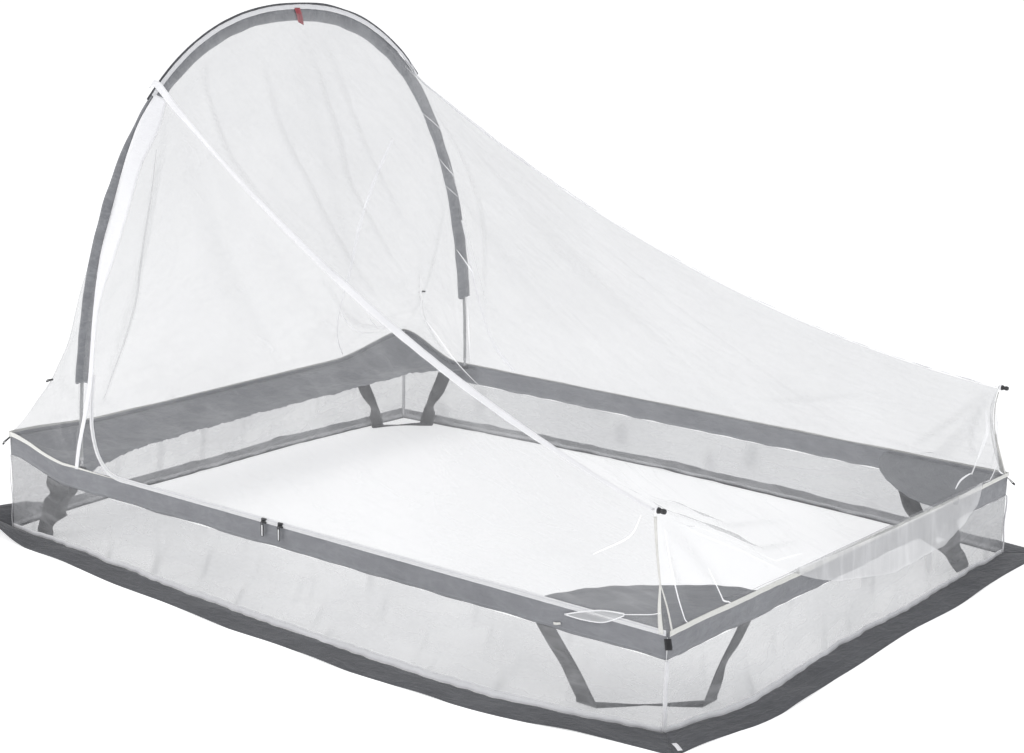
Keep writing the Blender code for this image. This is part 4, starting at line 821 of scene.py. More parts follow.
TAFFETA = fabric_finish(
    "grey_taffeta", (0.228, 0.232, 0.250, 1), (0.42, 0.43, 0.455, 1),
    PLAIN_WEAVE, 0.00045, (0.0030, 16.0), (0.0030, 0.0065), 0.55, 0.30, (0.5, 1.2, 1.0),
)
SLEEVE_TAFFETA = fabric_finish(
    "sleeve_taffeta", (0.195, 0.199, 0.215, 1), (0.56, 0.57, 0.59, 1),
    PLAIN_WEAVE, 0.00045, (0.0026, 22.0), (0.0030,), 0.55, 0.30, (0.5, 1.2, 1.0),
)
SKIRT_CLOTH = fabric_finish(
    "dark_taffeta", (0.088, 0.090, 0.098, 1), (0.21, 0.215, 0.23, 1),
    PLAIN_WEAVE, 0.00050, (0.0040, 11.0), (0.0050,), 0.52, 0.25, (0.6, 1.3, 1.0),
)
STRAP_WEBBING = fabric_finish(
    "grey_webbing", (0.066, 0.067, 0.070, 1), (0.18, 0.183, 0.19, 1),
    GROSGRAIN, 0.0014, (0.0010, 20.0), (0.0030,), 0.62, 0.20,
)
BLACK_WEBBING = fabric_finish(
    "black_webbing", (0.016, 0.016, 0.018, 1), (0.085, 0.085, 0.09, 1),
    GROSGRAIN, 0.0012, (0.0006, 30.0), (0.0020,), 0.60, 0.20,
)
DARK_BINDING = fabric_finish(
    "dark_binding", (0.060, 0.061, 0.068, 1), (0.16, 0.162, 0.175, 1),
    GROSGRAIN, 0.0010, (0.0006, 30.0), (0.0020,), 0.60, 0.20,
)
RED_WEBBING = fabric_finish(
    "red_webbing", (0.34, 0.045, 0.060, 1), (0.62, 0.20, 0.22, 1),
    GROSGRAIN, 0.0012, (0.0008, 40.0), (0.0020,), 0.58, 0.20,
)
# The last number of each tape is the strength of its painted glow.
WHITE_TAPE = tape_finish("white_tape", (0.80, 0.80, 0.82, 1), (0.95, 0.95, 0.96, 1), 0.22)
GLOW_PAINTED_TAPE = tape_finish("glow_painted_white_tape", (0.82, 0.82, 0.84, 1), (0.95, 0.95, 0.96, 1), 0.62)
PALE_TAPE = tape_finish("pale_grey_tape", (0.70, 0.70, 0.72, 1), (0.88, 0.88, 0.89, 1), 0.12)
CREAM_TAPE = tape_finish("cream_tape", (0.70, 0.695, 0.66, 1), (0.87, 0.865, 0.83, 1), 0.08, 0.0020)
print("fabrics:", TAFFETA.name, SKIRT_CLOTH.name, STRAP_WEBBING.name, WHITE_TAPE.name)


# %% [markdown]
# The hard parts are small: a fibreglass pole with its steel sleeves and tips, an elastic cord in
# the pole, moulded seats, and black plastic end caps. Their patterns use Object coordinates,
# because those meshes have no cloth map. The pole shows its long glass fibres, the steel its
# turning marks, and the plastic a fine grain.

# %% Hard finishes
def hard_finish(name, colour, light, metal, roughness, stretch, grain, depth, coat=0.0):
    made, w, shader = new_finish(name)
    place = w.node("ShaderNodeTexCoord").outputs["Object"]
    streak = w.noise(w.stretch(place, stretch), grain, 4.0, 0.6)
    cloudy = w.noise(place, 14.0, 3.0)
    mark = w.noise(place, 320.0, 2.0)
    tint = w.plus(w.fit(streak, 0.3, 0.7, 0.0, 0.6), w.fit(cloudy, 0.3, 0.7, 0.0, 0.35), True)
    w.feed(shader.inputs["Base Color"], w.blend(tint, colour, light))
    w.feed(shader.inputs["Roughness"], w.fit(streak, 0.3, 0.7, roughness + 0.10, roughness - 0.06))
    w.feed(shader.inputs["Normal"], w.bump(0.4, depth, w.plus(w.times(streak, 0.7), w.times(mark, 0.3))))
    set_plain(shader, {"Metallic": metal, "Coat Weight": coat})
    return made


FIBREGLASS = hard_finish(
    "pole_fibreglass", (0.36, 0.365, 0.37, 1), (0.52, 0.53, 0.53, 1), 0.0, 0.38, (6, 1, 1), 90.0, 0.0002, 0.3
)
STEEL = hard_finish(
    "turned_steel", (0.50, 0.50, 0.51, 1), (0.72, 0.72, 0.73, 1), 1.0, 0.30, (1, 1, 8), 120.0, 0.0001
)
ELASTIC = hard_finish(
    "elastic_cord", (0.66, 0.66, 0.65, 1), (0.88, 0.88, 0.87, 1), 0.0, 0.75, (8, 1, 1), 300.0, 0.0002
)
SEAT_PLASTIC = hard_finish(
    "moulded_seat", (0.060, 0.060, 0.064, 1), (0.13, 0.13, 0.135, 1), 0.0, 0.48, (1, 1, 1), 220.0, 0.0002
)
BLACK_PLASTIC = hard_finish(
    "black_plastic", (0.014, 0.014, 0.016, 1), (0.055, 0.055, 0.058, 1), 0.0, 0.42, (2, 1, 1), 260.0, 0.0002, 0.1
)
SLIDER_METAL = hard_finish(
    "slider_metal", (0.030, 0.030, 0.032, 1), (0.11, 0.11, 0.115, 1), 0.6, 0.38, (1, 1, 1), 260.0, 0.0001, 0.2
)
PULL_RUBBER = hard_finish(
    "pull_rubber", (0.62, 0.63, 0.64, 1), (0.82, 0.82, 0.83, 1), 0.0, 0.50, (1, 1, 1), 240.0, 0.0002
)
ZIP_NYLON = hard_finish(
    "zip_nylon", (0.90, 0.90, 0.91, 1), (0.98, 0.98, 0.98, 1), 0.0, 0.35, (1, 1, 1), 260.0, 0.0001, 0.1
)
print("hard finishes:", FIBREGLASS.name, STEEL.name, ELASTIC.name, SEAT_PLASTIC.name, BLACK_PLASTIC.name)


# %% [markdown]
# A sheet of cloth starts as a grid of points. This helper turns one or more grids into one mesh
# and writes three things for the materials: a map of the cloth in metres, the distance to the
# nearest long edge, and how creased each point is. Solidify then gives opaque cloth its
# thickness, and is applied, so that the finished mesh holds it. Net stays a single surface: it
# is half a millimetre thick and mostly holes.

# %% From grids of points to a piece of cloth
TENT_MIDDLE = np.array([0.0, 0.0, 0.40])
ROOT_BODY = "tent"
GRID_SHIFT = 0.37


def cloth_map(grid):
    """Distances along and across the grid, in metres, at each of its points."""
    along = np.linalg.norm(np.diff(grid, axis=1), axis=2).mean(axis=0)
    across = np.linalg.norm(np.diff(grid, axis=0), axis=2).mean(axis=1)
    u = np.concatenate([[0.0], np.cumsum(along)])
    v = np.concatenate([[0.0], np.cumsum(across)])
    return np.meshgrid(u, v)


def grid_faces(rows, columns):
    first = np.arange(rows - 1)[:, None] * columns + np.arange(columns - 1)[None]
    return np.stack([first, first + 1, first + 1 + columns, first + columns], axis=-1).reshape(-1, 4)


def faces_point_in(grid):
    a, b, c, d = grid[:-1, :-1], grid[:-1, 1:], grid[1:, 1:], grid[1:, :-1]
    area = (np.cross(b - a, c - a) + np.cross(c - a, d - a)) / 2
    return float((area * ((a + c) / 2 - TENT_MIDDLE)).sum()) < 0


def thicken(piece, thickness):
    modifier = piece.modifiers.new("thickness", "SOLIDIFY")
    modifier.thickness = thickness
    modifier.offset = 0.0
    modifier.use_even_offset = False
    bpy.context.view_layer.objects.active = piece
    bpy.ops.object.modifier_apply(modifier=modifier.name)


def mount(piece, replaces=(), body=ROOT_BODY):
    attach(piece, body)
    if replaces:
        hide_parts(*replaces)


def lay_cloth(name, grids, finish, replaces=(), thickness=0.0, creases=None):
    """One piece of cloth from one or more grids, riding on the tent."""
    places, quads, maps, hems, folds = [], [], [], [], []
    start = 0
    for number, grid in enumerate(grids):
        rows, columns = grid.shape[:2]
        faces = grid_faces(rows, columns) + start
        u, v = cloth_map(grid)
        places.append(grid.reshape(-1, 3))
        quads.append(faces[:, ::-1] if faces_point_in(grid) else faces)
        maps.append(np.stack([u + GRID_SHIFT * number, v], axis=-1).reshape(-1, 2))
        hems.append(np.minimum(v, v[-1, 0] - v).reshape(-1))
        crease = 0.0 if creases is None else creases[number]
        folds.append(np.broadcast_to(crease, (rows, columns)).reshape(-1))
        start += rows * columns
    quads = np.concatenate(quads)
    mesh = bpy.data.meshes.new(name)
    mesh.from_pydata(np.concatenate(places).tolist(), [], quads.tolist())
    layer = mesh.uv_layers.new(name="cloth")
    layer.data.foreach_set("uv", np.concatenate(maps)[quads.reshape(-1)].astype(np.float32).reshape(-1))
    for label, values in (("hem", hems), ("crease", folds)):
        field = mesh.attributes.new(label, "FLOAT", "POINT")
        field.data.foreach_set("value", np.concatenate(values).astype(np.float32))
    mesh.shade_smooth()
    mesh.materials.append(finish)
    piece = bpy.data.objects.new(name, mesh)
    bpy.context.scene.collection.objects.link(piece)
    if thickness:
        thicken(piece, thickness)
    mount(piece, replaces)
    return piece


def ribbon(path, outward, width, stand=0.0, twist=0.0, strands=3):
    """Grid of a flat tape along a path: outward is the way that its face looks."""
    path = np.asarray(path, float)
    outward = np.broadcast_to(outward, path.shape)
    tangent = unit(np.gradient(path, axis=0))
    face = unit(outward - tangent * (outward * tangent).sum(axis=-1, keepdims=True))
    across = np.cross(tangent, face)
    turn = np.broadcast_to(twist, len(path))[:, None]
    turned = across * np.cos(turn) + face * np.sin(turn)
    width = np.broadcast_to(width, len(path))[:, None]
    middle = path + face * np.broadcast_to(stand, len(path))[:, None]
    return np.stack([middle + turned * width * share for share in np.linspace(-0.5, 0.5, strands)])


print("cloth helpers ready")

# %% [markdown]
# A net that has been folded in a bag never hangs quite smooth. Two things give it away: soft
# ridges that run from one fixing point to another, and narrow pleats, where the net lies double
# and so looks denser. A ridge moves the grid's points along their normals. A pleat is a slim
# extra strip just off the surface, with pointed ends.

# %% Ripples, ridges and pleats
RIPPLE_WAVES = 7
RIPPLE_PEAK = 1.6


def ripples(u, v, seed, shortest=0.05, longest=0.28):
    """Small waves in many directions, between about -1 and 1, over distances in metres."""
    dice = np.random.default_rng(seed)
    total = np.zeros(np.broadcast(u, v).shape)
    for _ in range(RIPPLE_WAVES):
        length = dice.uniform(shortest, longest)
        turn = dice.uniform(0.0, math.pi)
        phase = dice.uniform(0.0, 2 * math.pi)
        total += np.sin(2 * math.pi * (u * math.cos(turn) + v * math.sin(turn)) / length + phase)
    return total / math.sqrt(RIPPLE_WAVES) / RIPPLE_PEAK


def grid_normals(grid):
    """Directions square to a grid at its points, all on its outer side."""
    normal = unit(np.cross(np.gradient(grid, axis=1), np.gradient(grid, axis=0)))
    return normal * (1.0 if float((normal * (grid - TENT_MIDDLE)).sum()) > 0 else -1.0)


def away_from_path(u, v, path):
    """Distance from each point to a path, and how far along the path its nearest point is."""
    closest = np.full(u.shape, np.inf)
    share = np.zeros(u.shape)
    last = len(path) - 1
    for k in range(last):
        span = path[k + 1] - path[k]
        part = ((u - path[k][0]) * span[0] + (v - path[k][1]) * span[1]) / max(float(span @ span), 1e-12)
        part = np.clip(part, 0.0, 1.0)
        off = np.hypot(u - path[k][0] - part * span[0], v - path[k][1] - part * span[1])
        closer = off < closest
        closest = np.where(closer, off, closest)
        share = np.where(closer, (k + part) / last, share)
    return closest, share


SEWN_CLEAR = 0.010
SEWN_RUN = 0.035


def net_panel(surface, columns, rows, folds, ripple, seed, tie=0.06, sewn=()):
    """Grid over a panel, with its ridges raised, and how creased it is at each point.
    A fold is its path in shares, its height, its half width in metres and its whiteness.
    Where a tape is sewn on, the panel stays flat along the tape's path."""
    v, u = share_grid(rows, columns)
    flat = surface(u, v)
    along, across = cloth_map(flat)
    size = np.array([along[0, -1], across[-1, 0]])
    height = ripple * ripples(along, across, seed)
    crease = np.zeros(u.shape)
    for path, rise, half_width, white in folds:
        spots = smooth_path(np.array(path) * size, 16)
        off, share = away_from_path(u * size[0], v * size[1], spots)
        taper = np.sqrt(np.sin(math.pi * np.clip(share, 0.01, 0.99)))
        height += rise * np.exp(-((off / half_width) ** 2)) * taper
        crease = np.maximum(crease, white * np.exp(-((off / (half_width * 0.5)) ** 2)) * taper)
    free = ease(np.minimum(u, 1 - u) * size[0] / tie) * ease(np.minimum(v, 1 - v) * size[1] / tie)
    for path in sewn:
        off, _ = away_from_path(u * size[0], v * size[1], smooth_path(np.array(path) * size, 24))
        free = free * ease((off - SEWN_CLEAR) / SEWN_RUN)
    return flat + grid_normals(flat) * (height * free)[..., None], crease


SURFACE_STEP = 0.004


def on_surface(surface, path, count):
    """Points of a path on a panel, with the outward direction at each."""
    spots = smooth_path(path, count)
    u, v = np.clip(spots[:, 0], 0.0, 1.0), np.clip(spots[:, 1], 0.0, 1.0)
    du = surface(np.minimum(u + SURFACE_STEP, 1.0), v) - surface(np.maximum(u - SURFACE_STEP, 0.0), v)
    dv = surface(u, np.minimum(v + SURFACE_STEP, 1.0)) - surface(u, np.maximum(v - SURFACE_STEP, 0.0))
    place = surface(u, v)
    outward = unit(np.cross(du, dv))
    return place, outward * np.sign((outward * (place - TENT_MIDDLE)).sum(axis=-1, keepdims=True))


def pleat(surface, path, width, stand=0.0025, count=28):
    """A slim strip of doubled net along a path on a panel."""
    place, outward = on_surface(surface, path, count)
    taper = np.sqrt(np.sin(math.pi * np.linspace(0.02, 0.98, count)))
    return ribbon(place, outward, width * taper, stand, strands=2)


print("ripple sample", round(float(ripples(0.1, 0.2, 1)), 3))

# %% [markdown]
# The roof is the largest panel. Its soft ridges start at the hoop and run down towards the near
# ridge, because the near side is pulled a little tighter. Short pleats cross the hoop's far leg,
# where the roof and the far wall are sewn together. At the foot the same net turns down over the
# rim and hangs outside the band as a drape.

# %% Roof of net
ROOF_COLUMNS = 190
ROOF_ROWS = 130
ROOF_RIPPLE = 0.0030
DRAPE_COLUMNS = 9
DRAPE_SWING = 0.006
# A whiteness above 0.45 also paints the net's colour whiter and gives it a painted glow; below that it only makes the
# net denser.
DRAPE_WHITENESS = 0.52
PLEAT_WHITENESS = 0.62
LEG_NET_WHITENESS = 0.20
ROOF_FOLDS = (
    (
        ((0.020, 0.16), (0.043, 0.111), (0.092, 0.067), (0.135, 0.034), (0.176, 0.020), (0.26, 0.010)),
        0.012, 0.016, 0.40,
    ),
    (
        ((0.060, 0.31), (0.129, 0.229), (0.206, 0.173), (0.249, 0.151), (0.339, 0.097), (0.46, 0.05)),
        0.014, 0.020, 0.34,
    ),
    (((0.050, 0.48), (0.131, 0.403), (0.203, 0.332), (0.261, 0.266), (0.42, 0.18)), 0.014, 0.020, 0.34),
    (((0.04, 0.53), (0.124, 0.471), (0.206, 0.405), (0.33, 0.33)), 0.012, 0.018, 0.28),
    (((0.02, 0.66), (0.15, 0.60), (0.34, 0.52), (0.60, 0.46)), 0.010, 0.030, 0.10),
    (((0.01, 0.80), (0.20, 0.76), (0.48, 0.70), (0.80, 0.60)), 0.010, 0.032, 0.10),
    (((0.10, 0.93), (0.36, 0.90), (0.66, 0.86), (0.94, 0.80)), 0.008, 0.024, 0.12),
    (((0.984, 0.03), (0.96, 0.13), (0.955, 0.25), (0.965, 0.38)), 0.012, 0.022, 0.35),
    (((0.975, 0.02), (0.92, 0.12), (0.90, 0.24), (0.93, 0.42)), 0.010, 0.026, 0.22),
    (((0.95, 0.02), (0.82, 0.14), (0.78, 0.30), (0.86, 0.46)), 0.010, 0.040, 0.10),
    (((0.990, 0.985), (0.948, 0.942), (0.918, 0.89), (0.90, 0.80)), 0.010, 0.018, 0.30),
    (((0.985, 0.97), (0.93, 0.90), (0.95, 0.82), (0.985, 0.74)), 0.010, 0.018, 0.30),
)
ROOF_PLEATS = (
    (((0.050, 0.843), (0.066, 0.846), (0.079, 0.858)), 0.0042),
    (((0.160, 0.670), (0.173, 0.682), (0.188, 0.689)), 0.0040),
    (((0.240, 0.579), (0.256, 0.577), (0.271, 0.577)), 0.0040),
    (((0.285, 0.525), (0.295, 0.528), (0.305, 0.531)), 0.0036),
    (((0.384, 0.404), (0.402, 0.398), (0.423, 0.389)), 0.0040),
    (((0.506, 0.116), (0.550, 0.096), (0.607, 0.066), (0.668, 0.041)), 0.0055),
    (((0.992, 0.02), (0.978, 0.12), (0.975, 0.24), (0.985, 0.36)), 0.0075),
    (((0.984, 0.970), (0.983, 0.952), (0.981, 0.928)), 0.0075),
    (((0.981, 0.932), (0.980, 0.900), (0.984, 0.860), (0.994, 0.818)), 0.0048),
)


def roof_grid():
    grid, crease = net_panel(roof_net, ROOF_COLUMNS, ROOF_ROWS, ROOF_FOLDS, ROOF_RIPPLE, 11)
    v = np.linspace(0, 1, ROOF_ROWS)
    inset = points(0.0, SEAM * (1 - 2 * v), 0.0)
    top = crest_line(v) + inset
    low = drape_hem(v) + inset
    depth = np.linspace(0, 1, DRAPE_COLUMNS)[None, 1:, None]
    drape = mix(top[:, None], low[:, None], depth)
    length = np.linalg.norm(top - low, axis=-1)
    swing = DRAPE_SWING * np.abs(ripples(v * 2 * HALF_WIDTH, 0.0, 5, 0.06, 0.20)) * ease(length / 0.05)
    drape[..., 0] += swing[:, None] * depth[..., 0]
    white = np.broadcast_to(DRAPE_WHITENESS * ease(length / 0.02)[:, None], (ROOF_ROWS, DRAPE_COLUMNS - 1))
    return np.concatenate([grid, drape], axis=1), np.concatenate([crease, white], axis=1)


def sewn_panel(name, grid, crease, surface, pleats, replaced, extra=()):
    """A panel with its pleats, each a path, a width and, if it isn't the usual one, a whiteness."""
    grids, creases = [grid], [crease]
    for path, width, *white in pleats:
        grids.append(pleat(surface, path, width))
        creases.append(white[0] if white else PLEAT_WHITENESS)
    grids += extra
    creases += [LEG_NET_WHITENESS] * len(extra)
    return lay_cloth(name, grids, UPPER_NET, (replaced,), creases=creases)


roof = sewn_panel("roof_net", *roof_grid(), roof_net, ROOF_PLEATS, "net_top")
print("roof points:", len(roof.data.vertices))

# %% [markdown]
# The near wall holds the door, and creases drop from its top corner along the hoop's leg. The
# far wall mirrors it. The foot wall is short: its middle part hangs slack behind the drape, and
# a bunch of limp net gathers in the far corner. The head wall is the smoothest, and its corners
# are pulled in by the band.

# %% Side walls, foot wall and head wall
NEAR_FOLDS = (
    (((0.018, 0.99), (0.052, 0.826), (0.066, 0.661), (0.064, 0.483), (0.036, 0.182)), -0.010, 0.016, 0.45),
    (((0.008, 0.92), (0.014, 0.808), (0.020, 0.691)), -0.006, 0.012, 0.35),
    (((0.060, 0.985), (0.142, 0.884), (0.255, 0.689), (0.389, 0.469)), -0.010, 0.030, 0.12),
    (((0.090, 0.985), (0.244, 0.912), (0.423, 0.786), (0.657, 0.593)), -0.010, 0.034, 0.10),
    (((0.985, 0.93), (0.960, 0.70), (0.848, 0.401), (0.70, 0.12)), -0.008, 0.024, 0.18),
    (((0.992, 0.904), (0.942, 0.453), (0.908, 0.10)), -0.006, 0.018, 0.22),
    (((0.55, 0.90), (0.62, 0.50), (0.60, 0.12)), -0.006, 0.040, 0.08),
)
NEAR_PLEATS = (
    (
        ((0.032, 0.885), (0.052, 0.806), (0.064, 0.716), (0.072, 0.605), (0.076, 0.517), (0.066, 0.381), (0.041, 0.209)),
        0.0070, 0.42,
    ),
    (((0.004, 0.862), (0.008, 0.826), (0.020, 0.745), (0.018, 0.687), (0.019, 0.637)), 0.0055, 0.42),
    (((0.980, 0.92), (0.958, 0.68), (0.900, 0.42)), 0.0035),
)
FAR_FOLDS = (
    (((0.02, 0.97), (0.06, 0.80), (0.07, 0.55), (0.04, 0.20)), -0.010, 0.018, 0.30),
    (((0.06, 0.98), (0.16, 0.80), (0.30, 0.60), (0.44, 0.42)), -0.010, 0.030, 0.10),
    (((0.60, 0.20), (0.673, 0.295), (0.737, 0.415), (0.798, 0.533)), -0.008, 0.022, 0.20),
    (((0.985, 0.90), (0.938, 0.515), (0.86, 0.10)), -0.008, 0.022, 0.25),
    (((0.990, 0.86), (0.970, 0.50), (0.955, 0.12)), -0.008, 0.014, 0.35),
)
FAR_PLEATS = (
    (((0.005, 0.70), (0.018, 0.46), (0.050, 0.22)), 0.0045),
)
FOOT_FOLDS = (
    (((0.012, 0.95), (0.092, 0.760), (0.180, 0.20)), -0.008, 0.020, 0.25),
    (((0.014, 0.894), (0.044, 0.541), (0.074, 0.05)), -0.006, 0.014, 0.30),
    (((0.990, 0.93), (0.972, 0.80), (0.965, 0.45), (0.985, 0.05)), 0.008, 0.012, 0.55),
    (((0.975, 0.95), (0.945, 0.60), (0.900, 0.20)), 0.008, 0.014, 0.45),
    (((0.960, 0.96), (0.900, 0.70), (0.850, 0.30)), 0.006, 0.014, 0.30),
)
FOOT_PLEATS = (
    (((0.018, 0.90), (0.030, 0.50), (0.045, 0.06)), 0.0040),
    (((0.105, 0.70), (0.128, 0.40), (0.150, 0.05)), 0.0035),
    (((0.985, 0.92), (0.965, 0.75), (0.965, 0.42), (0.985, 0.06)), 0.0080),
    (((0.975, 0.94), (0.945, 0.60), (0.905, 0.20)), 0.0055),
)
HEAD_FOLDS = (
    (((0.513, 0.046), (0.553, 0.271), (0.625, 0.585), (0.701, 0.942)), 0.008, 0.030, 0.10),
    (((0.375, 0.060), (0.413, 0.425), (0.501, 0.838)), 0.008, 0.034, 0.08),
    (((0.760, 0.55), (0.796, 0.802), (0.880, 0.93), (0.962, 0.966)), 0.008, 0.014, 0.40),
    (((0.785, 0.10), (0.787, 0.45), (0.786, 0.92)), 0.006, 0.016, 0.25),
    (((0.215, 0.10), (0.213, 0.45), (0.214, 0.92)), 0.006, 0.016, 0.25),
    (((0.250, 0.30), (0.230, 0.70), (0.300, 0.96)), 0.008, 0.022, 0.15),
    (((0.60, 0.70), (0.68, 0.86), (0.76, 0.95)), 0.006, 0.012, 0.30),
)
HEAD_PLEATS = (
    (((0.770, 0.62), (0.800, 0.812), (0.870, 0.92), (0.950, 0.965)), 0.0030),
    (((0.640, 0.80), (0.690, 0.90), (0.740, 0.955)), 0.0035),
    (((0.700, 0.84), (0.730, 0.92), (0.770, 0.97)), 0.0030),
)
WALLS = (
    ("near_net", near_net, 150, 70, NEAR_FOLDS, NEAR_PLEATS, 21, "net_door"),
    ("far_net", far_net, 150, 70, FAR_FOLDS, FAR_PLEATS, 22, "net_far"),
    ("foot_net", foot_net, 150, 34, FOOT_FOLDS, FOOT_PLEATS, 23, "net_foot"),
    ("head_net", head_net, 170, 90, HEAD_FOLDS, HEAD_PLEATS, 24, "net_head"),
)
SEWN_ON = {
    "near_net": (
        ((0.0, 1.0), (0.010, 0.804), (0.024, 0.517), (0.012, 0.285), (0.010, 0.0)),
        ((0.012, 0.293), (0.016, 0.194), (0.032, 0.108), (0.062, 0.042), (0.110, 0.0)),
    ),
    "far_net": (((0.026, 0.257), (0.054, 0.102), (0.096, 0.026)),),
    "head_net": (((0.665, 0.238), (0.643, 0.543), (0.647, 0.812), (0.679, 0.966)),),
}
LEG_SIGNS = {"near_net": -1, "far_net": 1}
LEG_NET_TOP = 0.430
LEG_NET_BULGE = 0.0030
FOOT_HAZE = 0.30
WALL_RIPPLE = 0.0022
WALL_TIE = 0.05


def leg_net_grid(sign):
    """Net in front of the bare end of the pole, between the two seams of the sleeve."""
    z = np.linspace(RIM_HEIGHT + GAP, LEG_NET_TOP, 40)
    angle = angle_at_height(np.maximum(z - HOOP_FOOT, 0.0))
    on_hoop = np.abs(hoop_line(angle, X_HOOP, SEAM_RADIAL)[:, 1])
    y = mix(HALF_WIDTH, on_hoop, ease((z - RIM_HEIGHT) / 0.12))
    rows = []
    for share in np.linspace(0, 1, 7):
        bulge = LEG_NET_BULGE * math.sin(math.pi * share)
        rows.append(points(mix(X_SEAM_FOOT, X_SEAM_HEAD, share), sign * (y + bulge), z))
    return np.stack(rows)


for name, surface, columns, rows, folds, pleats, seed, replaced in WALLS:
    grid, crease = net_panel(surface, columns, rows, folds, WALL_RIPPLE, seed, WALL_TIE, SEWN_ON.get(name, ()))
    if name == "near_net":
        crease = np.maximum(crease, FOOT_HAZE * ease((np.linspace(0, 1, columns) - 0.35) / 0.50))
    extra = [leg_net_grid(LEG_SIGNS[name])] if name in LEG_SIGNS else []
    sewn_panel(name, grid, crease, surface, pleats, replaced, extra)

# %% [markdown]
# Below the band, the lower net has upright creases from the way it is gathered into its hem. A
# white tape binds the hem, and each corner has a narrow seam. The dark skirt lies outside it,
# flat on the floor. Its four strips meet in mitres, and its outer edge waves a little, as cloth
# does when nothing pulls it straight.

# %% Lower net, hem tape and corner seams
HEM_TAPE_WIDTH = 0.012
LOWER_ROWS = 30
LOWER_COLUMNS = (180, 140)
GATHER_DEPTH = 0.0045
GATHER_WHITENESS = 0.35


def lower_net_grid(side, seed):
    fall, share = share_grid(LOWER_ROWS, by_side(side, *LOWER_COLUMNS))
    length = by_side(side, *SIDE_LENGTHS)
    upright = ripples(share * length, fall * 0.05, seed, 0.035, 0.16)
    ends = ease(np.minimum(share, 1 - share) * length / 0.04)
    _, out = side_rim(side, 0.5)
    bulge = GATHER_DEPTH * upright * fall * ends + 0.0015 * ends * fall
    return lower_net(side, share, fall) + out * bulge[..., None], GATHER_WHITENESS * np.clip(upright, 0, 1) ** 3 * ends


for number, side in enumerate(SIDES):
    grid, crease = lower_net_grid(side, 31 + number)
    lay_cloth(f"lower_net_{side}", [grid], LOWER_NET, (f"wall_net_{side}",), creases=[crease])
    _, out = side_rim(side, 0.5)
    hem = grid[-3:, :] + out * 0.0012
    hem[0, :, 2] = hem[2, :, 2] + HEM_TAPE_WIDTH
    hem[1, :, 2] = (hem[0, :, 2] + hem[2, :, 2]) / 2
    lay_cloth(f"hem_tape_{side}", [hem], PALE_TAPE, thickness=0.0007)

# %% Corner seams of the lower net
CORNERS = {"head_near": (-1, -1), "head_far": (-1, 1), "foot_near": (1, -1), "foot_far": (1, 1)}
CORNER_SEAM_WIDTH = 0.009
for corner, (x_sign, y_sign) in CORNERS.items():
    out = np.array([x_sign, y_sign, 0.0]) / math.sqrt(2)
    top = rim_height(x_sign * X_FOOT, y_sign * HALF_WIDTH) - BAND_DEPTH
    heights = np.linspace(top, 0.004, 24)
    path = points(x_sign * X_FOOT, y_sign * HALF_WIDTH, heights) + out * 0.0020
    path += out * (0.0015 * np.sin(heights * 60.0))[:, None]
    seam = ribbon(path, out, CORNER_SEAM_WIDTH)
    lay_cloth(f"lower_seam_{corner}", [seam], PALE_TAPE, thickness=0.0006)
print("corner seams:", len(CORNERS))

# %% Ground skirt
SKIRT_WIDTH = 0.080
SKIRT_LAP = 0.004
SKIRT_ROWS = 10
SKIRT_COLUMNS = (190, 150)
SKIRT_WAVES = {"near": 5, "far": 5, "foot": 3, "head": 3}
SKIRT_WAVE_DEPTH = 0.005
SKIRT_LIFT = 0.0055
SKIRT_CURLS = {"near": 0.08, "head": 0.15}
SKIRT_CURL_ANGLE = math.radians(35.0)


def skirt_grid(side, seed):
    start, end, out = (np.append(np.array(value), 0.0) for value in SIDES[side])
    along = unit(end - start)
    width, reach = share_grid(SKIRT_ROWS, by_side(side, *SKIRT_COLUMNS))
    ends = np.minimum(reach, 1 - reach)
    wave = SKIRT_WAVE_DEPTH * np.sin(2 * math.pi * SKIRT_WAVES[side] * reach) * np.sin(math.pi * reach)
    across = mix(-SKIRT_LAP, SKIRT_WIDTH + wave, width)
    curl = 0.0 * reach
    if side in SKIRT_CURLS:
        curl = SKIRT_CURL_ANGLE * (1 - ease(reach / SKIRT_CURLS[side]))
    lying = np.where(across > 0, np.cos(curl), 1.0)
    distance = hem_out(side, reach) + across * lying
    mitre = mix(-SKIRT_LAP, SKIRT_WIDTH, width) * (2 * reach - 1) * lying * np.clip(1 - ends * 14, 0, 1)
    grid = mix(start, end, reach[..., None]) + out * distance[..., None] + along * mitre[..., None]
    lift = np.clip(ripples(reach * by_side(side, *SIDE_LENGTHS), width * 0.08, seed, 0.05, 0.30), 0, 1.5)
    edge = 0.4 + 0.6 * np.sin(math.pi * np.clip(width, 0.0, 0.85))
    grid[..., 2] = CLOTH / 2 + 0.0001 + SKIRT_LIFT * lift * edge * ease(ends * 30)
    grid[..., 2] += np.maximum(across, 0.0) * np.sin(curl)
    return grid


for number, side in enumerate(SIDES):
    skirt = skirt_grid(side, 41 + number)
    lay_cloth(f"skirt_cloth_{side}", [skirt], SKIRT_CLOTH, (f"skirt_{side}",), CLOTH)

# %% [markdown]
# The grey band is the stiffest cloth of the tent, yet it still puckers where the net and the zip
# are sewn to it. Its lower edge is wavier than its upper one. At the head it continues inwards
# as a level panel, and each foot corner has a rounded gusset.

# %% Band, head panel and foot gussets
BAND_ROWS = 9
BAND_COLUMNS = (200, 150)
BAND_STAND = 0.0006
BAND_PUCKER = 0.0022
PANEL_INSET = 0.0012
PANEL_DROP = 0.009
PANEL_FALL_RUN = 0.110
PANEL_DEPTHS = (0.290, 0.233, 0.207, 0.194, 0.186, 0.181, 0.178, 0.176, 0.175, 0.175, 0.178, 0.194, 0.290)
GUSSET_REACH = (0.338, 0.358)
GUSSET_ROUND = 2 / 1.5
NEAR_AND_FAR = (("near", -1), ("far", 1))


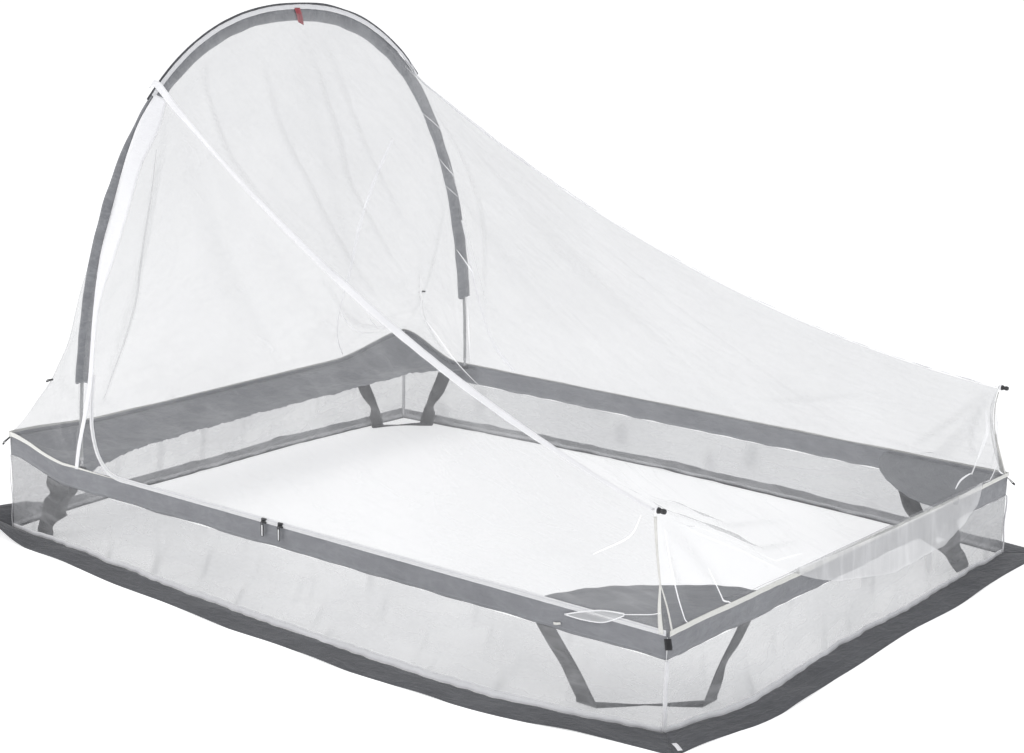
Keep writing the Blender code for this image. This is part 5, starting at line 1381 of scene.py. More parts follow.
def band_grid(side, seed):
    depth, share = share_grid(BAND_ROWS, by_side(side, *BAND_COLUMNS))
    grid, out = side_rim(side, share)
    length = by_side(side, *SIDE_LENGTHS)
    ends = ease(np.minimum(share, 1 - share) * length / 0.05)
    pucker = ripples(share * length, depth * 0.05, seed, 0.03, 0.20)
    sway = ripples(share * length, 0.0, seed + 60, 0.06, 0.30)
    grid[..., 2] -= GAP + (BAND_DEPTH - GAP + BAND_PUCKER * sway * ends) * depth
    swell = (BAND_STAND + BAND_PUCKER * pucker * ends) * np.sin(math.pi * np.clip(depth, 0.05, 1)) ** 1.5
    return grid + out * swell[..., None]


for number, side in enumerate(SIDES):
    lay_cloth(f"band_cloth_{side}", [band_grid(side, 51 + number)], TAFFETA, (f"band_{side}",), CLOTH)


def panel_height(x, y):
    """Height of the head panel: just below the rim at its edge, and falling to its level part."""
    beside = HALF_WIDTH - np.abs(y)
    fall = ease(np.minimum(x - X_HEAD, beside) / PANEL_FALL_RUN)
    edge = np.where(beside < x - X_HEAD, rim_height(x, np.sign(y) * HALF_WIDTH), rim_height(X_HEAD, y))
    return mix(edge, RIM_HEIGHT, fall) - PANEL_DROP


def head_panel_grid():
    deep, share = share_grid(40, 180)
    y = mix(-HALF_WIDTH + PANEL_INSET, HALF_WIDTH - PANEL_INSET, share)
    x = X_HEAD + PANEL_INSET + spline_table(PANEL_DEPTHS, share) * deep
    free = ease(np.minimum(share, 1 - share) * 25) * ease(deep * 8)
    wave = 0.0040 * ripples(y, x, 71, 0.05, 0.26) + 0.0020 * ripples(y * 3, x, 72, 0.03, 0.10)
    return points(x, y, panel_height(x, y) + wave * free - 0.001)


def gusset_grid(sign):
    clear = CLOTH + GAP
    corner = np.array([X_FOOT - clear, sign * (HALF_WIDTH - clear), RIM_HEIGHT - PANEL_DROP])
    out, turn = np.meshgrid(np.linspace(0.004, 1, 34), np.linspace(0, math.pi / 2, 60), indexing="ij")
    reach_x = GUSSET_REACH[0] * np.abs(np.cos(turn)) ** GUSSET_ROUND
    reach_y = GUSSET_REACH[1] * np.abs(np.sin(turn)) ** GUSSET_ROUND
    grid = corner + points(-reach_x, -sign * reach_y, 0.0) * out[..., None]
    free = ease(np.minimum(turn, math.pi / 2 - turn) * 5) * ease(out * 3)
    grid[..., 2] += 0.0024 * ripples(grid[..., 0], grid[..., 1], 75 + sign, 0.05, 0.20) * free
    return grid


lay_cloth("head_panel_cloth", [head_panel_grid()], TAFFETA, ("head_panel",), CLOTH)
for side, sign in NEAR_AND_FAR:
    lay_cloth(f"gusset_cloth_{side}", [gusset_grid(sign)], TAFFETA, (f"gusset_{side}",), CLOTH)

# %% [markdown]
# Four webbing straps hold the band down: each goes from the band to the floor inside the lower
# net, across under the corner, and up again on the next side. Webbing twists rather than bends
# sideways, so a strap that comes down at a slant turns on itself near the floor.

# %% Corner straps
STRAP_WIDTH = 0.050
STRAP_INSET = 0.012
STRAP_BEND = 0.006
STRAP_LOW = 0.0002 + WEBBING / 2
STRAP_TOP = RIM_HEIGHT - BAND_DEPTH + 0.014
STRAP_STAND = 0.0014
STRAP_PLACES = {"foot": (0.310, 0.200, 0.300, 0.185), "head": (0.165, 0.105, 0.200, 0.135)}
STRAP_TWISTS = {
    "head_near": (1.35, 0.55), "head_far": (0.45, 0.35), "foot_near": (0.05, 0.15), "foot_far": (0.30, 0.95),
}
TWIST_SPAN = (0.25, 0.75)
STRAP_TWIST_SPANS = {"head_near": (0.0, 0.62)}


def strap_leg(x_sign, y_sign, along_x, top_place, floor_place, twist, span=TWIST_SPAN):
    """Middle line of one leg, and the direction across the webbing at each point."""
    corner = np.array([x_sign * X_FOOT, y_sign * HALF_WIDTH, 0.0])
    along = np.array([-x_sign, 0.0, 0.0]) if along_x else np.array([0.0, -y_sign, 0.0])
    out = np.array([0.0, y_sign, 0.0]) if along_x else np.array([x_sign, 0.0, 0.0])
    share = np.linspace(0, 1, 40)
    turn = twist * np.sin(math.pi * ease((share - span[0]) / span[1])) ** 2
    inset = mix(STRAP_STAND, STRAP_INSET, ease(share * 1.4)) + STRAP_WIDTH / 2 * np.abs(np.sin(turn))
    middle = corner + along * mix(top_place, floor_place, share)[:, None] - out * inset[:, None]
    middle[:, 2] = mix(STRAP_TOP, STRAP_BEND * 2, share)
    across = along * np.cos(turn)[:, None] - out * np.sin(turn)[:, None]
    angles = np.linspace(0, math.pi / 2, 8)[1:]
    bend_inset = STRAP_INSET + STRAP_BEND * (1 - np.cos(angles))
    bend = corner + along * floor_place - out * bend_inset[:, None]
    bend[:, 2] = STRAP_LOW + STRAP_BEND * (1 - np.sin(angles))
    return np.concatenate([middle, bend]), np.concatenate([across, np.tile(along, (len(bend), 1))])


def strap_grid(corner):
    x_sign, y_sign = CORNERS[corner]
    side_top, side_floor, end_top, end_floor = STRAP_PLACES[corner.split("_")[0]]
    side_twist, end_twist = STRAP_TWISTS[corner]
    span = STRAP_TWIST_SPANS.get(corner, TWIST_SPAN)
    first, first_across = strap_leg(x_sign, y_sign, True, side_top, side_floor, side_twist, span)
    second, second_across = strap_leg(x_sign, y_sign, False, end_top, end_floor, end_twist)
    share = np.linspace(0, 1, 14)[1:-1, None]
    middle = np.concatenate([first, mix(first[-1], second[-1], share), second[::-1]])
    turned = mix(first_across[-1], -second_across[-1], share)
    across = np.concatenate([first_across, turned, -second_across[::-1]])
    wide = np.linspace(-0.5, 0.5, 7)[:, None, None]
    return middle[None] + unit(across)[None] * wide * STRAP_WIDTH


for corner in CORNERS:
    strap = strap_grid(corner)
    lay_cloth(f"strap_webbing_{corner}", [strap], STRAP_WEBBING, (f"strap_{corner}",), WEBBING)

# %% [markdown]
# The pole runs in a flat sleeve of the same grey cloth. It is sewn as a tube, so it keeps an oval
# shape round the pole, wrinkles between the stitches, and its cut ends are ragged. A dark piping
# follows its outer edge over the arch. A white tape covers the seam in front of it, and where
# the near ridge starts, the ends of two tapes cross over the arch.

# %% Sleeve of the hoop, with piping
SLEEVE_END_HEIGHT = 0.418
SLEEVE_HALF_DEPTH = 0.0190
SLEEVE_HALF_THICKNESS = 0.0070
SLEEVE_FRONT = X_HOOP + 0.0082
SLEEVE_ALONG = 300
SLEEVE_AROUND = 21
SLEEVE_FRAY = 0.0055
SLEEVE_PALER = 0.80
STRIP_ALONG = 220
STRIP_LENGTH = 2.2
STRIP_WAVE = 0.0005


def sleeve_grid():
    """Oval tube: its rows go along the pole and its columns round it."""
    start = float(np.interp(angle_at_height(SLEEVE_END_HEIGHT - HOOP_FOOT), HOOP_ANGLES, HOOP_LENGTHS))
    along, around = np.linspace(0, 1, SLEEVE_ALONG), np.linspace(0, 2 * math.pi, SLEEVE_AROUND)
    share, turn = np.meshgrid(along, around, indexing="ij")
    length = mix(start, HOOP_LENGTHS[-1] - start, share)
    around = np.cos(turn) * 0.02
    ragged = SLEEVE_FRAY * ripples(around, np.sin(turn) * 0.02, 81, 0.012, 0.04)
    length = length + ragged * (ease(1 - share * 60) - ease(share * 60 - 59))
    pinch = 1 + 0.10 * ripples(length, around, 82, 0.02, 0.14)
    flat = 1 - 0.16 * np.clip(ripples(length, around * 2, 83, 0.015, 0.08), 0, 1)
    wider = 1 + 0.10 * ease(1 - share * 25) + 0.32 * ease(share * 5 - 4)
    stand = SLEEVE_HALF_DEPTH * np.cos(turn) * pinch * wider
    place = hoop_line(np.interp(length, HOOP_LENGTHS, HOOP_ANGLES), X_HOOP, stand)
    place[..., 0] += SLEEVE_HALF_THICKNESS * np.sin(turn) * flat
    return place


def arch_strip(inner, outer, x, past, across, seed, taper=0.0):
    """Strip in the hoop's plane between two distances from the pole, from one crossing to the other."""
    angle = np.linspace(CROSSING_ANGLE - past, math.pi - CROSSING_ANGLE + past, STRIP_ALONG)
    length = np.linspace(0, STRIP_LENGTH, STRIP_ALONG)
    stands = np.linspace(inner, outer, across)
    sway = STRIP_WAVE * 1.6 * ripples(length, 0.0, seed, 0.04, 0.3)
    narrow = 1 - taper * ease((np.linspace(0, 1, STRIP_ALONG) - 0.84) / 0.16)
    strip = np.stack([hoop_line(angle, x, outer - (outer - stand) * narrow + sway) for stand in stands])
    strip[..., 0] += STRIP_WAVE * ripples(length[None], stands[:, None] * 3, seed + 1, 0.03, 0.2)
    return strip


def paler_columns(grid):
    """Cloth that turns paler over the grid's columns: round the sleeve, and along the piping."""
    return SLEEVE_PALER * ease((np.linspace(0, 1, grid.shape[1]) - 0.30) / 0.40)


grids = [sleeve_grid(), arch_strip(0.0180, 0.0285, X_HOOP + 0.0056, 0.055, 3, 84)]
creases = [paler_columns(grid) for grid in grids]
lay_cloth("sleeve_cloth", grids, SLEEVE_TAFFETA, ("pole_sleeve",), CLOTH, creases)
binding = arch_strip(0.0236, 0.0290, X_HOOP + 0.0068, 0.055, 2, 84)
lay_cloth("sleeve_piping", [binding], DARK_BINDING, thickness=0.0010)
white_strip = arch_strip(0.0120, 0.0240, SLEEVE_FRONT, 0.035, 4, 85, 0.6)
lay_cloth("sleeve_front_tape", [white_strip], PALE_TAPE, ("sleeve_tape",), CLOTH)

# %% [markdown]
# The red tab at the top of the hoop shows which way round the tent goes. It is a short piece of
# webbing, cut to a point, and sewn in under the white tape, so it hangs in front of the sleeve.

# %% Red tab at the apex
APEX_TAB_X = X_HOOP + 0.0096
APEX_TAB_TOP = 1.2900
APEX_TAB_LENGTH = 0.037
APEX_TAB_WIDTH = 0.020
APEX_TAB_POINT = 0.008
APEX_TAB_LEAN = (0.018, 0.013)


def apex_tab_grid():
    down, wide = np.meshgrid(np.linspace(0, 1, 16), np.linspace(-0.5, 0.5, 7))
    x = APEX_TAB_X + 0.0022 * np.sin(down * 2.6) + 0.0006 * np.cos(wide * 5)
    y = APEX_TAB_WIDTH * wide + (APEX_TAB_LEAN[0] + APEX_TAB_LEAN[1] * down)
    z = APEX_TAB_TOP - APEX_TAB_LENGTH * down - APEX_TAB_POINT * down**6 * (wide + 0.5)
    return points(x, y, z)


lay_cloth("apex_red_tab", [apex_tab_grid()], RED_WEBBING, ("apex_tab",), WEBBING)

# %% [markdown]
# White tapes cover the seams between the panels. A tape is a little fuller than the seam it
# covers, so it waves and narrows where it twists away from the viewer. Each one is a ribbon on
# a path that lies just off the net.

# %% Ridge tapes, and the tapes that cross over the arch
TAPE_STAND = 0.0014
TAPE_SWAY = 0.0012
TAPE_TWIST = 0.22
RIDGE_WIDTHS = {
    "near": (0.020, 0.010, 0.010, 0.014, 0.018, 0.018, 0.016, 0.011, 0.006),
    "far": (0.012, 0.013, 0.014, 0.016, 0.017, 0.017, 0.016, 0.014, 0.012),
}
RIDGE_SIDE_STEP = 0.05


def ridge_outward(sign, u):
    across = 0.0 if sign < 0 else 1.0
    beside = roof_net(u, abs(across - RIDGE_SIDE_STEP)) - roof_net(u, across)
    below = side_net(sign, u, 1 - RIDGE_SIDE_STEP) - side_net(sign, u, 1.0)
    return -unit(unit(beside) + unit(below))


def tape_over(name, path, outward, width, finish, seed, replaces=()):
    """A tape along a path, which sways a little between the stitches."""
    length = lengths_along(path)
    twist = TAPE_TWIST * ripples(length, 0.0, seed, 0.05, 0.25)
    sway = TAPE_SWAY * np.abs(ripples(length, 0.0, seed + 9, 0.04, 0.2))
    lift = TAPE_STAND + sway * ease(length / 0.03)
    full = width * (1 + 0.05 * ripples(length, 0.0, seed + 5, 0.03, 0.15))
    lay_cloth(name, [ribbon(path, outward, full, lift, twist, 5)], finish, replaces, CLOTH)


def over_the_arch(sign):
    """The first points of a ridge tape, which starts behind the sleeve and passes over it."""
    ends = ((-0.016, 0.021), (-0.008, 0.0295), (0.002, 0.0305), (0.012, 0.0215))
    return np.stack([hoop_line(crossing_angle(sign), X_HOOP + x, stand) for x, stand in ends])


for side, sign in NEAR_AND_FAR:
    u = np.linspace(0.022, 0.998, 151)
    start = over_the_arch(sign)
    path = smooth_path(np.concatenate([start, ridge_line(sign, u)[::6]]), 210)
    first_out = np.tile(hoop_outward(crossing_angle(sign), X_HOOP), (len(start), 1))
    outward = np.concatenate([first_out, ridge_outward(sign, u)[::6]])
    spread = np.linspace(0, 1, len(path))
    outward = read_between(spread, np.linspace(0, 1, len(outward)), outward)
    width = spline_table(RIDGE_WIDTHS[side], spread)
    tape_over(f"ridge_tape_cloth_{side}", path, outward, width, WHITE_TAPE, 90 + sign, (f"ridge_tape_{side}",))

# %% Near wall's outside, and the upright tape of the near leg
def near_wall(x, z, stand):
    """Point outside the near side at this X and Z: in front of the net, or of the band under it."""
    x, z = np.broadcast_arrays(np.asarray(x, float), np.asarray(z, float))
    u = np.clip((x - X_SEAM_FOOT) / (X_FOOT - SEAM - X_SEAM_FOOT), 0.0, 1.0)
    low = rim_height(x, -HALF_WIDTH) + GAP
    top = ridge_line(-1, u)[..., 2] - SEAM
    v = np.clip((z - low) / (top - low), 0.0, 1.0)
    y = np.where(z <= low, -HALF_WIDTH, near_net(u, v)[..., 1])
    return points(x, y - stand, z)


LEG_TAPE_OVER_SLEEVE = (
    (1.088, 0.0185, -0.716), (1.030, 0.0180, -0.704), (0.980, 0.0120, -0.704), (0.930, 0.0055, -0.704),
)
LEG_TAPE_ON_WALL = (
    (0.830, -0.7355, -0.690), (0.725, -0.7310, -0.692), (0.600, -0.7230, -0.709), (0.440, -0.7185, -0.7055),
    (0.386, -0.7220, -0.710), (0.334, -0.7275, -0.7165), (0.268, -0.7400, -0.7290), (0.205, -0.7511, -0.7401),
)
LEG_TAPE_WAVE = 0.0016
FAR_CURVE_TAPE = ((0.006, 0.50), (0.014, 0.36), (0.026, 0.257), (0.054, 0.102), (0.096, 0.010))
HEAD_WALL_TAPE = (
    (0.668, 0.215), (0.651, 0.391), (0.643, 0.543), (0.645, 0.675), (0.647, 0.812), (0.657, 0.902), (0.679, 0.985),
)
HEAD_WALL_WIDTHS = (0.006, 0.012, 0.013, 0.012, 0.007, 0.004, 0.003)


def leg_tape_grid():
    """The tape's two edges, first over the sleeve's front, then on the wall beside it."""
    rows = []
    for height, stand, right in LEG_TAPE_OVER_SLEEVE:
        left = hoop_line(angle_at_height(height - HOOP_FOOT), SLEEVE_FRONT + 0.0018, stand)
        rows.append(np.concatenate([left, near_wall(right, height, 0.0022)]))
    for height, left, right in LEG_TAPE_ON_WALL:
        rows.append(np.concatenate([near_wall(left, height, 0.0034), near_wall(right, height, 0.0024)]))
    edges = smooth_path(rows, 130)
    length = np.linspace(0.0, 0.9, len(edges))
    grid = np.stack([mix(edges[:, :3], edges[:, 3:], wide) for wide in np.linspace(0, 1, 7)])
    wave = np.abs(ripples(length[None], np.linspace(0, 0.02, 7)[:, None], 95, 0.03, 0.12))
    grid[..., 1] -= LEG_TAPE_WAVE * wave * np.sin(math.pi * np.linspace(0, 1, 7))[:, None]
    return grid


lay_cloth("leg_tape_near", [leg_tape_grid()], WHITE_TAPE, thickness=CLOTH)
path, outward = on_surface(far_net, FAR_CURVE_TAPE, 70)
tape_over("far_curve_tape", path, outward, np.linspace(0.008, 0.013, 70), GLOW_PAINTED_TAPE, 97)
path, outward = on_surface(head_net, HEAD_WALL_TAPE, 80)
tape_over("head_wall_tape", path, outward, spline_table(HEAD_WALL_WIDTHS, np.linspace(0, 1, 80)), GLOW_PAINTED_TAPE, 98)

# %% [markdown]
# At the foot corners a narrow cream tape comes down the seam from the ridge's end. Near the rim
# it splits: one tape goes to the near side and one to the foot side, with a dark slit between
# them where the corner opens. A cream tape also covers the rim, outside the band.

# %% Foot corner tapes and the rim's edge tape
SPLIT_HEIGHT = 0.305
EDGE_TAPE_WIDTHS = (
    0.0, 0.0130, 0.0060, 0.0060, 0.0060, 0.0060, 0.0060, 0.0060, 0.0070, 0.0110, 0.0120, 0.0120, 0.0120,
)
EDGE_TAPE_LEAST = 0.0012
EDGE_TAPE_START = -0.560
EDGE_TAPE_PALE = 0.9


def foot_corner_tapes(sign, side):
    tip = TIP_NEAR if sign < 0 else TIP_FAR
    heights = np.linspace(tip - 0.010, SPLIT_HEIGHT, 30)
    seam = foot_corner_seam(sign, (heights - RIM_HEIGHT) / (tip - RIM_HEIGHT))
    corner = unit(np.array([1.0, sign * 1.0, 0.0]))
    slim = np.linspace(0.006, 0.003, 30) + 0.0010 * ripples(heights, 0.0, 100 + sign, 0.03, 0.1)
    grids = [ribbon(seam, corner, slim, 0.0030, 0.0, 4)]
    base = seam[-1] + corner * 0.0028
    rim_corner = np.array([X_FOOT, sign * HALF_WIDTH, RIM_HEIGHT - 0.004])
    forward, sideways = np.array([1.0, 0.0, 0.0]), np.array([0.0, sign * 1.0, 0.0])
    for away, face, widths in ((-forward, sideways, (0.004, 0.012)), (-sideways, forward, (0.003, 0.006))):
        low = rim_corner + away * 0.0135 + face * 0.0026
        bow = mix(base, low, 0.5) + away * 0.002 + face * 0.0015
        path = smooth_path(np.stack([base + face * 0.0006, bow, low]), 24)
        grids.append(ribbon(path, face, np.linspace(*widths, 24), 0.0, 0.0, 4))
    lay_cloth(f"foot_corner_tape_{side}", grids, CREAM_TAPE, (f"foot_seam_{side}",), CLOTH)


def edge_tape_path():
    """From the zip's turn round the head and the far side to the foot, with the outward directions."""
    out = TAPE_STAND + 0.0006
    stops = (
        (EDGE_TAPE_START, -HALF_WIDTH - out), (X_HEAD - out, -HALF_WIDTH - out), (X_HEAD - out, HALF_WIDTH + out),
        (X_FOOT + out, HALF_WIDTH + out), (X_FOOT + out, -HALF_WIDTH + 0.004),
    )
    flat, faces = [], []
    for start, end, count in zip(stops, stops[1:], (60, 160, 200, 160)):
        start, end = np.array(start), np.array(end)
        flat.append(mix(start, end, np.linspace(0, 1, count)[:, None])[1:])
        along = unit(end - start)
        faces.append(np.tile([-along[1], along[0], 0.0], (count - 1, 1)))
    flat, faces = np.concatenate(flat), np.concatenate(faces)
    path = points(flat[:, 0], flat[:, 1], rim_height(flat[:, 0], flat[:, 1]))
    outward = np.where((faces * (path - TENT_MIDDLE)).sum(axis=1, keepdims=True) > 0, faces, -faces)
    return path, outward


def edge_tape_grid():
    path, outward = edge_tape_path()
    length = lengths_along(path)
    path[:, 2] += 0.0012 * ripples(length, 0.0, 105, 0.08, 0.4) - 0.001
    lift = 0.0002 + 0.0012 * np.abs(ripples(length, 0.0, 106, 0.05, 0.2))
    full = np.interp(length / length[-1], np.linspace(0, 1, len(EDGE_TAPE_WIDTHS)), EDGE_TAPE_WIDTHS)
    half = np.maximum(full, EDGE_TAPE_LEAST) / 2 * (1 + 0.05 * ripples(length, 0.0, 107, 0.05, 0.2))
    rows = [path + outward * lift[:, None] + points(0.0, 0.0, half * share) for share in np.linspace(-1, 1, 5)]
    return np.stack(rows), EDGE_TAPE_PALE * (1 - ease((length - 1.6) / 0.8)), length[-1]


for side, sign in NEAR_AND_FAR:
    foot_corner_tapes(sign, side)
grid, pale, length = edge_tape_grid()
lay_cloth("rim_edge_tape", [grid], CREAM_TAPE, ("edge_tape",), CLOTH, [pale])
print("edge tape length", round(float(length), 3))

# %% [markdown]
# The zip closes the door. Its tape comes down beside the hoop's leg, turns, and runs along the
# rim to the foot. The teeth of such a zip are the loops of one nylon coil, so they are made as
# many small rounded blocks, in two rows that meet. A low block is enough: a tooth is two
# millimetres long.

# %% Zip tape and teeth
ZIP_CURVE_LENGTH = 0.131
ZIP_CURVE_HEIGHT = 0.236
ZIP_CURVE_END = -0.575
ZIP_CURVE_POWER = 2.6
ZIP_END = 0.997
ZIP_TAPE_WIDTH = 0.012
ZIP_CROWN = 0.0009
ZIP_FOOT_SINK = 0.0008
ZIP_FACE = 0.0036
TOOTH_PITCH = 0.0026
TOOTH_SIZE = (0.0008, 0.0012, 0.0009)
TOOTH_OFF_MIDDLE = 0.0010
TOOTH_TAPER = 0.72
TOOTH_BLOCK = [(-1, -1), (1, -1), (1, 1), (-1, 1)]
TOOTH_QUADS = [(0, 1, 2, 3), (4, 7, 6, 5), (0, 4, 5, 1), (1, 5, 6, 2), (2, 6, 7, 3), (3, 7, 4, 0)]


def zip_path(end, count):
    """Evenly spread X and Z on the zip, the direction across it, and the length so far."""
    turn = np.linspace(0, math.pi / 2, 60)
    across = np.clip(np.cos(turn), 0.0, 1.0) ** (2 / ZIP_CURVE_POWER)
    down = np.sin(turn) ** (2 / ZIP_CURVE_POWER)
    fall = RIM_HEIGHT + ZIP_CURVE_HEIGHT * (1 - down)
    curve = np.stack([ZIP_CURVE_END - ZIP_CURVE_LENGTH * across, fall], axis=-1)
    run = np.stack([np.linspace(ZIP_CURVE_END, end, 200)[1:], np.full(199, RIM_HEIGHT)], axis=-1)
    route = np.concatenate([curve, run])
    length = lengths_along(route)
    even = np.linspace(0.0, length[-1], count)
    spots = read_between(even, length, route)
    along = unit(np.gradient(spots, axis=0))
    return spots, np.stack([-along[:, 1], along[:, 0]], axis=-1), even


def zip_tape_grid():
    spots, side, length = zip_path(ZIP_END, 420)
    wide = np.linspace(-0.5, 0.5, 9)[:, None]
    width = ZIP_TAPE_WIDTH * (1 + 0.03 * ripples(length, 0.0, 111, 0.05, 0.3))
    place = spots[None] + side[None] * (wide * width)[..., None]
    crown = ZIP_CROWN * np.abs(wide) ** 2 * 4 * np.abs(ripples(length, 0.0, 112, 0.03, 0.12))
    crown = TAPE_STAND + 0.0004 + crown - ZIP_FOOT_SINK * ease((spots[:, 0] - 0.60) / 0.30)
    return near_wall(place[..., 0], place[..., 1], crown)


def zip_teeth_mesh():
    """All teeth as one mesh: each is a block with a pinched head, in two rows that mesh."""
    spots, side, length = zip_path(ZIP_END - 0.012, 4000)
    count = int(length[-1] / TOOTH_PITCH)
    verts, faces = [], []
    for row, shift in ((-1, 0.0), (1, TOOTH_PITCH / 2)):
        at = (np.arange(count) + 0.5) * TOOTH_PITCH + shift
        middle = read_between(at, length, spots)
        across = read_between(at, length, side)
        along = np.stack([across[:, 1], -across[:, 0]], axis=-1)
        centre = near_wall(middle[:, 0], middle[:, 1], ZIP_FACE)
        for k in range(count):
            base = len(verts)
            for depth, slim in ((-1, 1.0), (1, TOOTH_TAPER)):
                for a, b in TOOTH_BLOCK:
                    off = row * TOOTH_OFF_MIDDLE + b * TOOTH_SIZE[1] * slim
                    flat = along[k] * (a * TOOTH_SIZE[0] * slim) + across[k] * off
                    y = centre[k, 1] - depth * TOOTH_SIZE[2]
                    verts.append((centre[k, 0] + flat[0], y, centre[k, 2] + flat[1]))
            faces += [tuple(base + i for i in quad) for quad in TOOTH_QUADS]
    mesh = bpy.data.meshes.new("zip_teeth")
    mesh.from_pydata(verts, [], faces)
    return mesh


def face_outward(mesh):
    shape = bmesh.new()
    shape.from_mesh(mesh)
    bmesh.ops.recalc_face_normals(shape, faces=shape.faces)
    shape.to_mesh(mesh)
    shape.free()


lay_cloth("zip_tape_cloth", [zip_tape_grid()], PALE_TAPE, ("zip_tape",), CLOTH)
teeth_mesh = zip_teeth_mesh()
face_outward(teeth_mesh)
teeth_mesh.materials.append(ZIP_NYLON)
teeth = bpy.data.objects.new("zip_teeth", teeth_mesh)
bpy.context.scene.collection.objects.link(teeth)
mount(teeth, ("zip_coil",))
print("teeth:", len(teeth_mesh.polygons) // 6)

# %% [markdown]
# The hard pieces are modelled with Blender's own edit tools, from a primitive. These helpers
# start a shape in edit mode, choose faces or edges by a test on their middles, and finish the
# shape with its finish and its shading.

# %% Helpers for modelled pieces
def start_shape(kind, **settings):
    bpy.ops.object.select_all(action="DESELECT")
    getattr(bpy.ops.mesh, f"primitive_{kind}_add")(**settings)
    shape = bpy.context.object
    bpy.ops.object.transform_apply(location=True, rotation=True, scale=True)
    bpy.ops.object.mode_set(mode="EDIT")
    return shape


def choose(shape, test, kind="FACE"):
    """Selects only the faces or edges whose middle passes the test, and says how many."""
    bpy.ops.mesh.select_mode(type=kind)
    bpy.ops.mesh.select_all(action="DESELECT")
    data = bmesh.from_edit_mesh(shape.data)
    items = data.faces if kind == "FACE" else data.edges
    chosen = [item for item in items if test(sum((v.co for v in item.verts), Vector()) / len(item.verts))]
    for item in chosen:
        item.select_set(True)
    bmesh.update_edit_mesh(shape.data)
    return len(chosen)


def finish_shape(shape, name, *finishes, angle=40.0):
    bpy.ops.mesh.select_all(action="SELECT")
    bpy.ops.mesh.normals_make_consistent(inside=False)
    bpy.ops.object.mode_set(mode="OBJECT")
    bpy.ops.object.shade_smooth_by_angle(angle=math.radians(angle))
    shape.name = name
    shape.data.name = name
    shape.data.materials.clear()
    for finish in finishes:
        shape.data.materials.append(finish)
    shape.select_set(False)
    return shape


def join_shapes(main, *others):
    bpy.ops.object.select_all(action="DESELECT")
    for shape in (main, *others):
        shape.select_set(True)
    bpy.context.view_layer.objects.active = main
    bpy.ops.object.join()
    bpy.ops.object.select_all(action="DESELECT")
    return main


print("helpers for modelled pieces ready")

# %% [markdown]
# Two sliders meet on the zip, so the door opens from either side. A slider is a small die-cast
# body that straddles the teeth. Its channel is cut with two bisections and an extrusion, and its
# bail is a round wire spun into an arch. A pull hangs from each bail: a wire loop with a light
# moulded tag, framed in black.

# %% Sliders and pulls
SLIDER_PLACES = {"head": -0.100, "foot": -0.048}
SLIDER_SIZE = (0.013, 0.0046, 0.0110)
SLIDER_BACK = HALF_WIDTH + TAPE_STAND + CLOTH / 2 + GAP
CHANNEL = (0.0058, 0.0028)
BAIL_OUT = 0.0036
BAIL_SPAN = 0.0058
WIRE_RADIUS = 0.00085
BAIL_Y = -(SLIDER_BACK + SLIDER_SIZE[1] + BAIL_OUT)


def slider_body(x):
    wide, deep, tall = SLIDER_SIZE
    front = -(SLIDER_BACK + deep)
    centre = (x, front + deep / 2, RIM_HEIGHT)
    body = start_shape("cube", size=1.0, location=centre, scale=(wide, deep, tall))
    channel_y = -(SLIDER_BACK + CHANNEL[1])
    for place, direction in (((0, 0, RIM_HEIGHT + CHANNEL[0] / 2), (0, 0, 1)), ((0, 0, RIM_HEIGHT - CHANNEL[0] / 2), (0, 0, 1)), ((0, channel_y, 0), (0, 1, 0))):
        bpy.ops.mesh.select_all(action="SELECT")
        bpy.ops.mesh.bisect(plane_co=place, plane_no=direction)
    middle = lambda p: abs(p.z - RIM_HEIGHT) < CHANNEL[0] / 4
    choose(body, lambda p: middle(p) and p.y > channel_y + CHANNEL[1] / 4 and abs(p.x - x) > wide / 4)
    bpy.ops.mesh.delete(type="FACE")
    choose(body, lambda p: middle(p) and p.y > channel_y + CHANNEL[1] * 0.9)
    bpy.ops.mesh.extrude_region_move(TRANSFORM_OT_translate={"value": (0, -CHANNEL[1], 0)})
    choose(body, lambda p: middle(p) and abs(abs(p.x - x) - wide / 2) < 1e-5 and p.y > channel_y)
    bpy.ops.mesh.delete(type="FACE")
    bpy.ops.mesh.select_all(action="SELECT")
    bpy.ops.mesh.remove_doubles(threshold=1e-6)
    choose(body, lambda p: p.y < front + 1e-5)
    bpy.ops.mesh.inset(thickness=0.0012, depth=0.0)
    bpy.ops.mesh.extrude_region_move(TRANSFORM_OT_translate={"value": (0, 0.0004, 0)})
    bpy.ops.object.mode_set(mode="OBJECT")
    bevel = body.modifiers.new("rounded", "BEVEL")
    bevel.width = 0.0007
    bevel.segments = 3
    bevel.limit_method = "ANGLE"
    bpy.ops.object.modifier_apply(modifier=bevel.name)
    bpy.ops.object.mode_set(mode="EDIT")
    return finish_shape(body, "slider_body", SLIDER_METAL)


def slider_bail(x):
    """Wire that leaves the body at one end, arches over its front and goes back in at the other."""
    turn_y = -(SLIDER_BACK + SLIDER_SIZE[1] - 0.0006)
    start = (x - BAIL_SPAN / 2, turn_y, RIM_HEIGHT)
    wire = start_shape("circle", vertices=12, radius=WIRE_RADIUS, fill_type="NGON", location=start, rotation=(math.pi / 2, 0, 0))
    bpy.ops.mesh.select_all(action="SELECT")
    rise = -(BAIL_Y - turn_y) - BAIL_SPAN / 2
    if rise > 0:
        bpy.ops.mesh.extrude_region_move(TRANSFORM_OT_translate={"value": (0, -rise, 0)})
    bpy.ops.mesh.spin(steps=12, angle=-math.pi, center=(x, turn_y - max(rise, 0.0), RIM_HEIGHT), axis=(0, 0, 1))
    if choose(wire, lambda p: p.y < turn_y - BAIL_SPAN) > 0:
        print("bail reaches", round(BAIL_SPAN, 4))
    return finish_shape(wire, "bail", SLIDER_METAL)


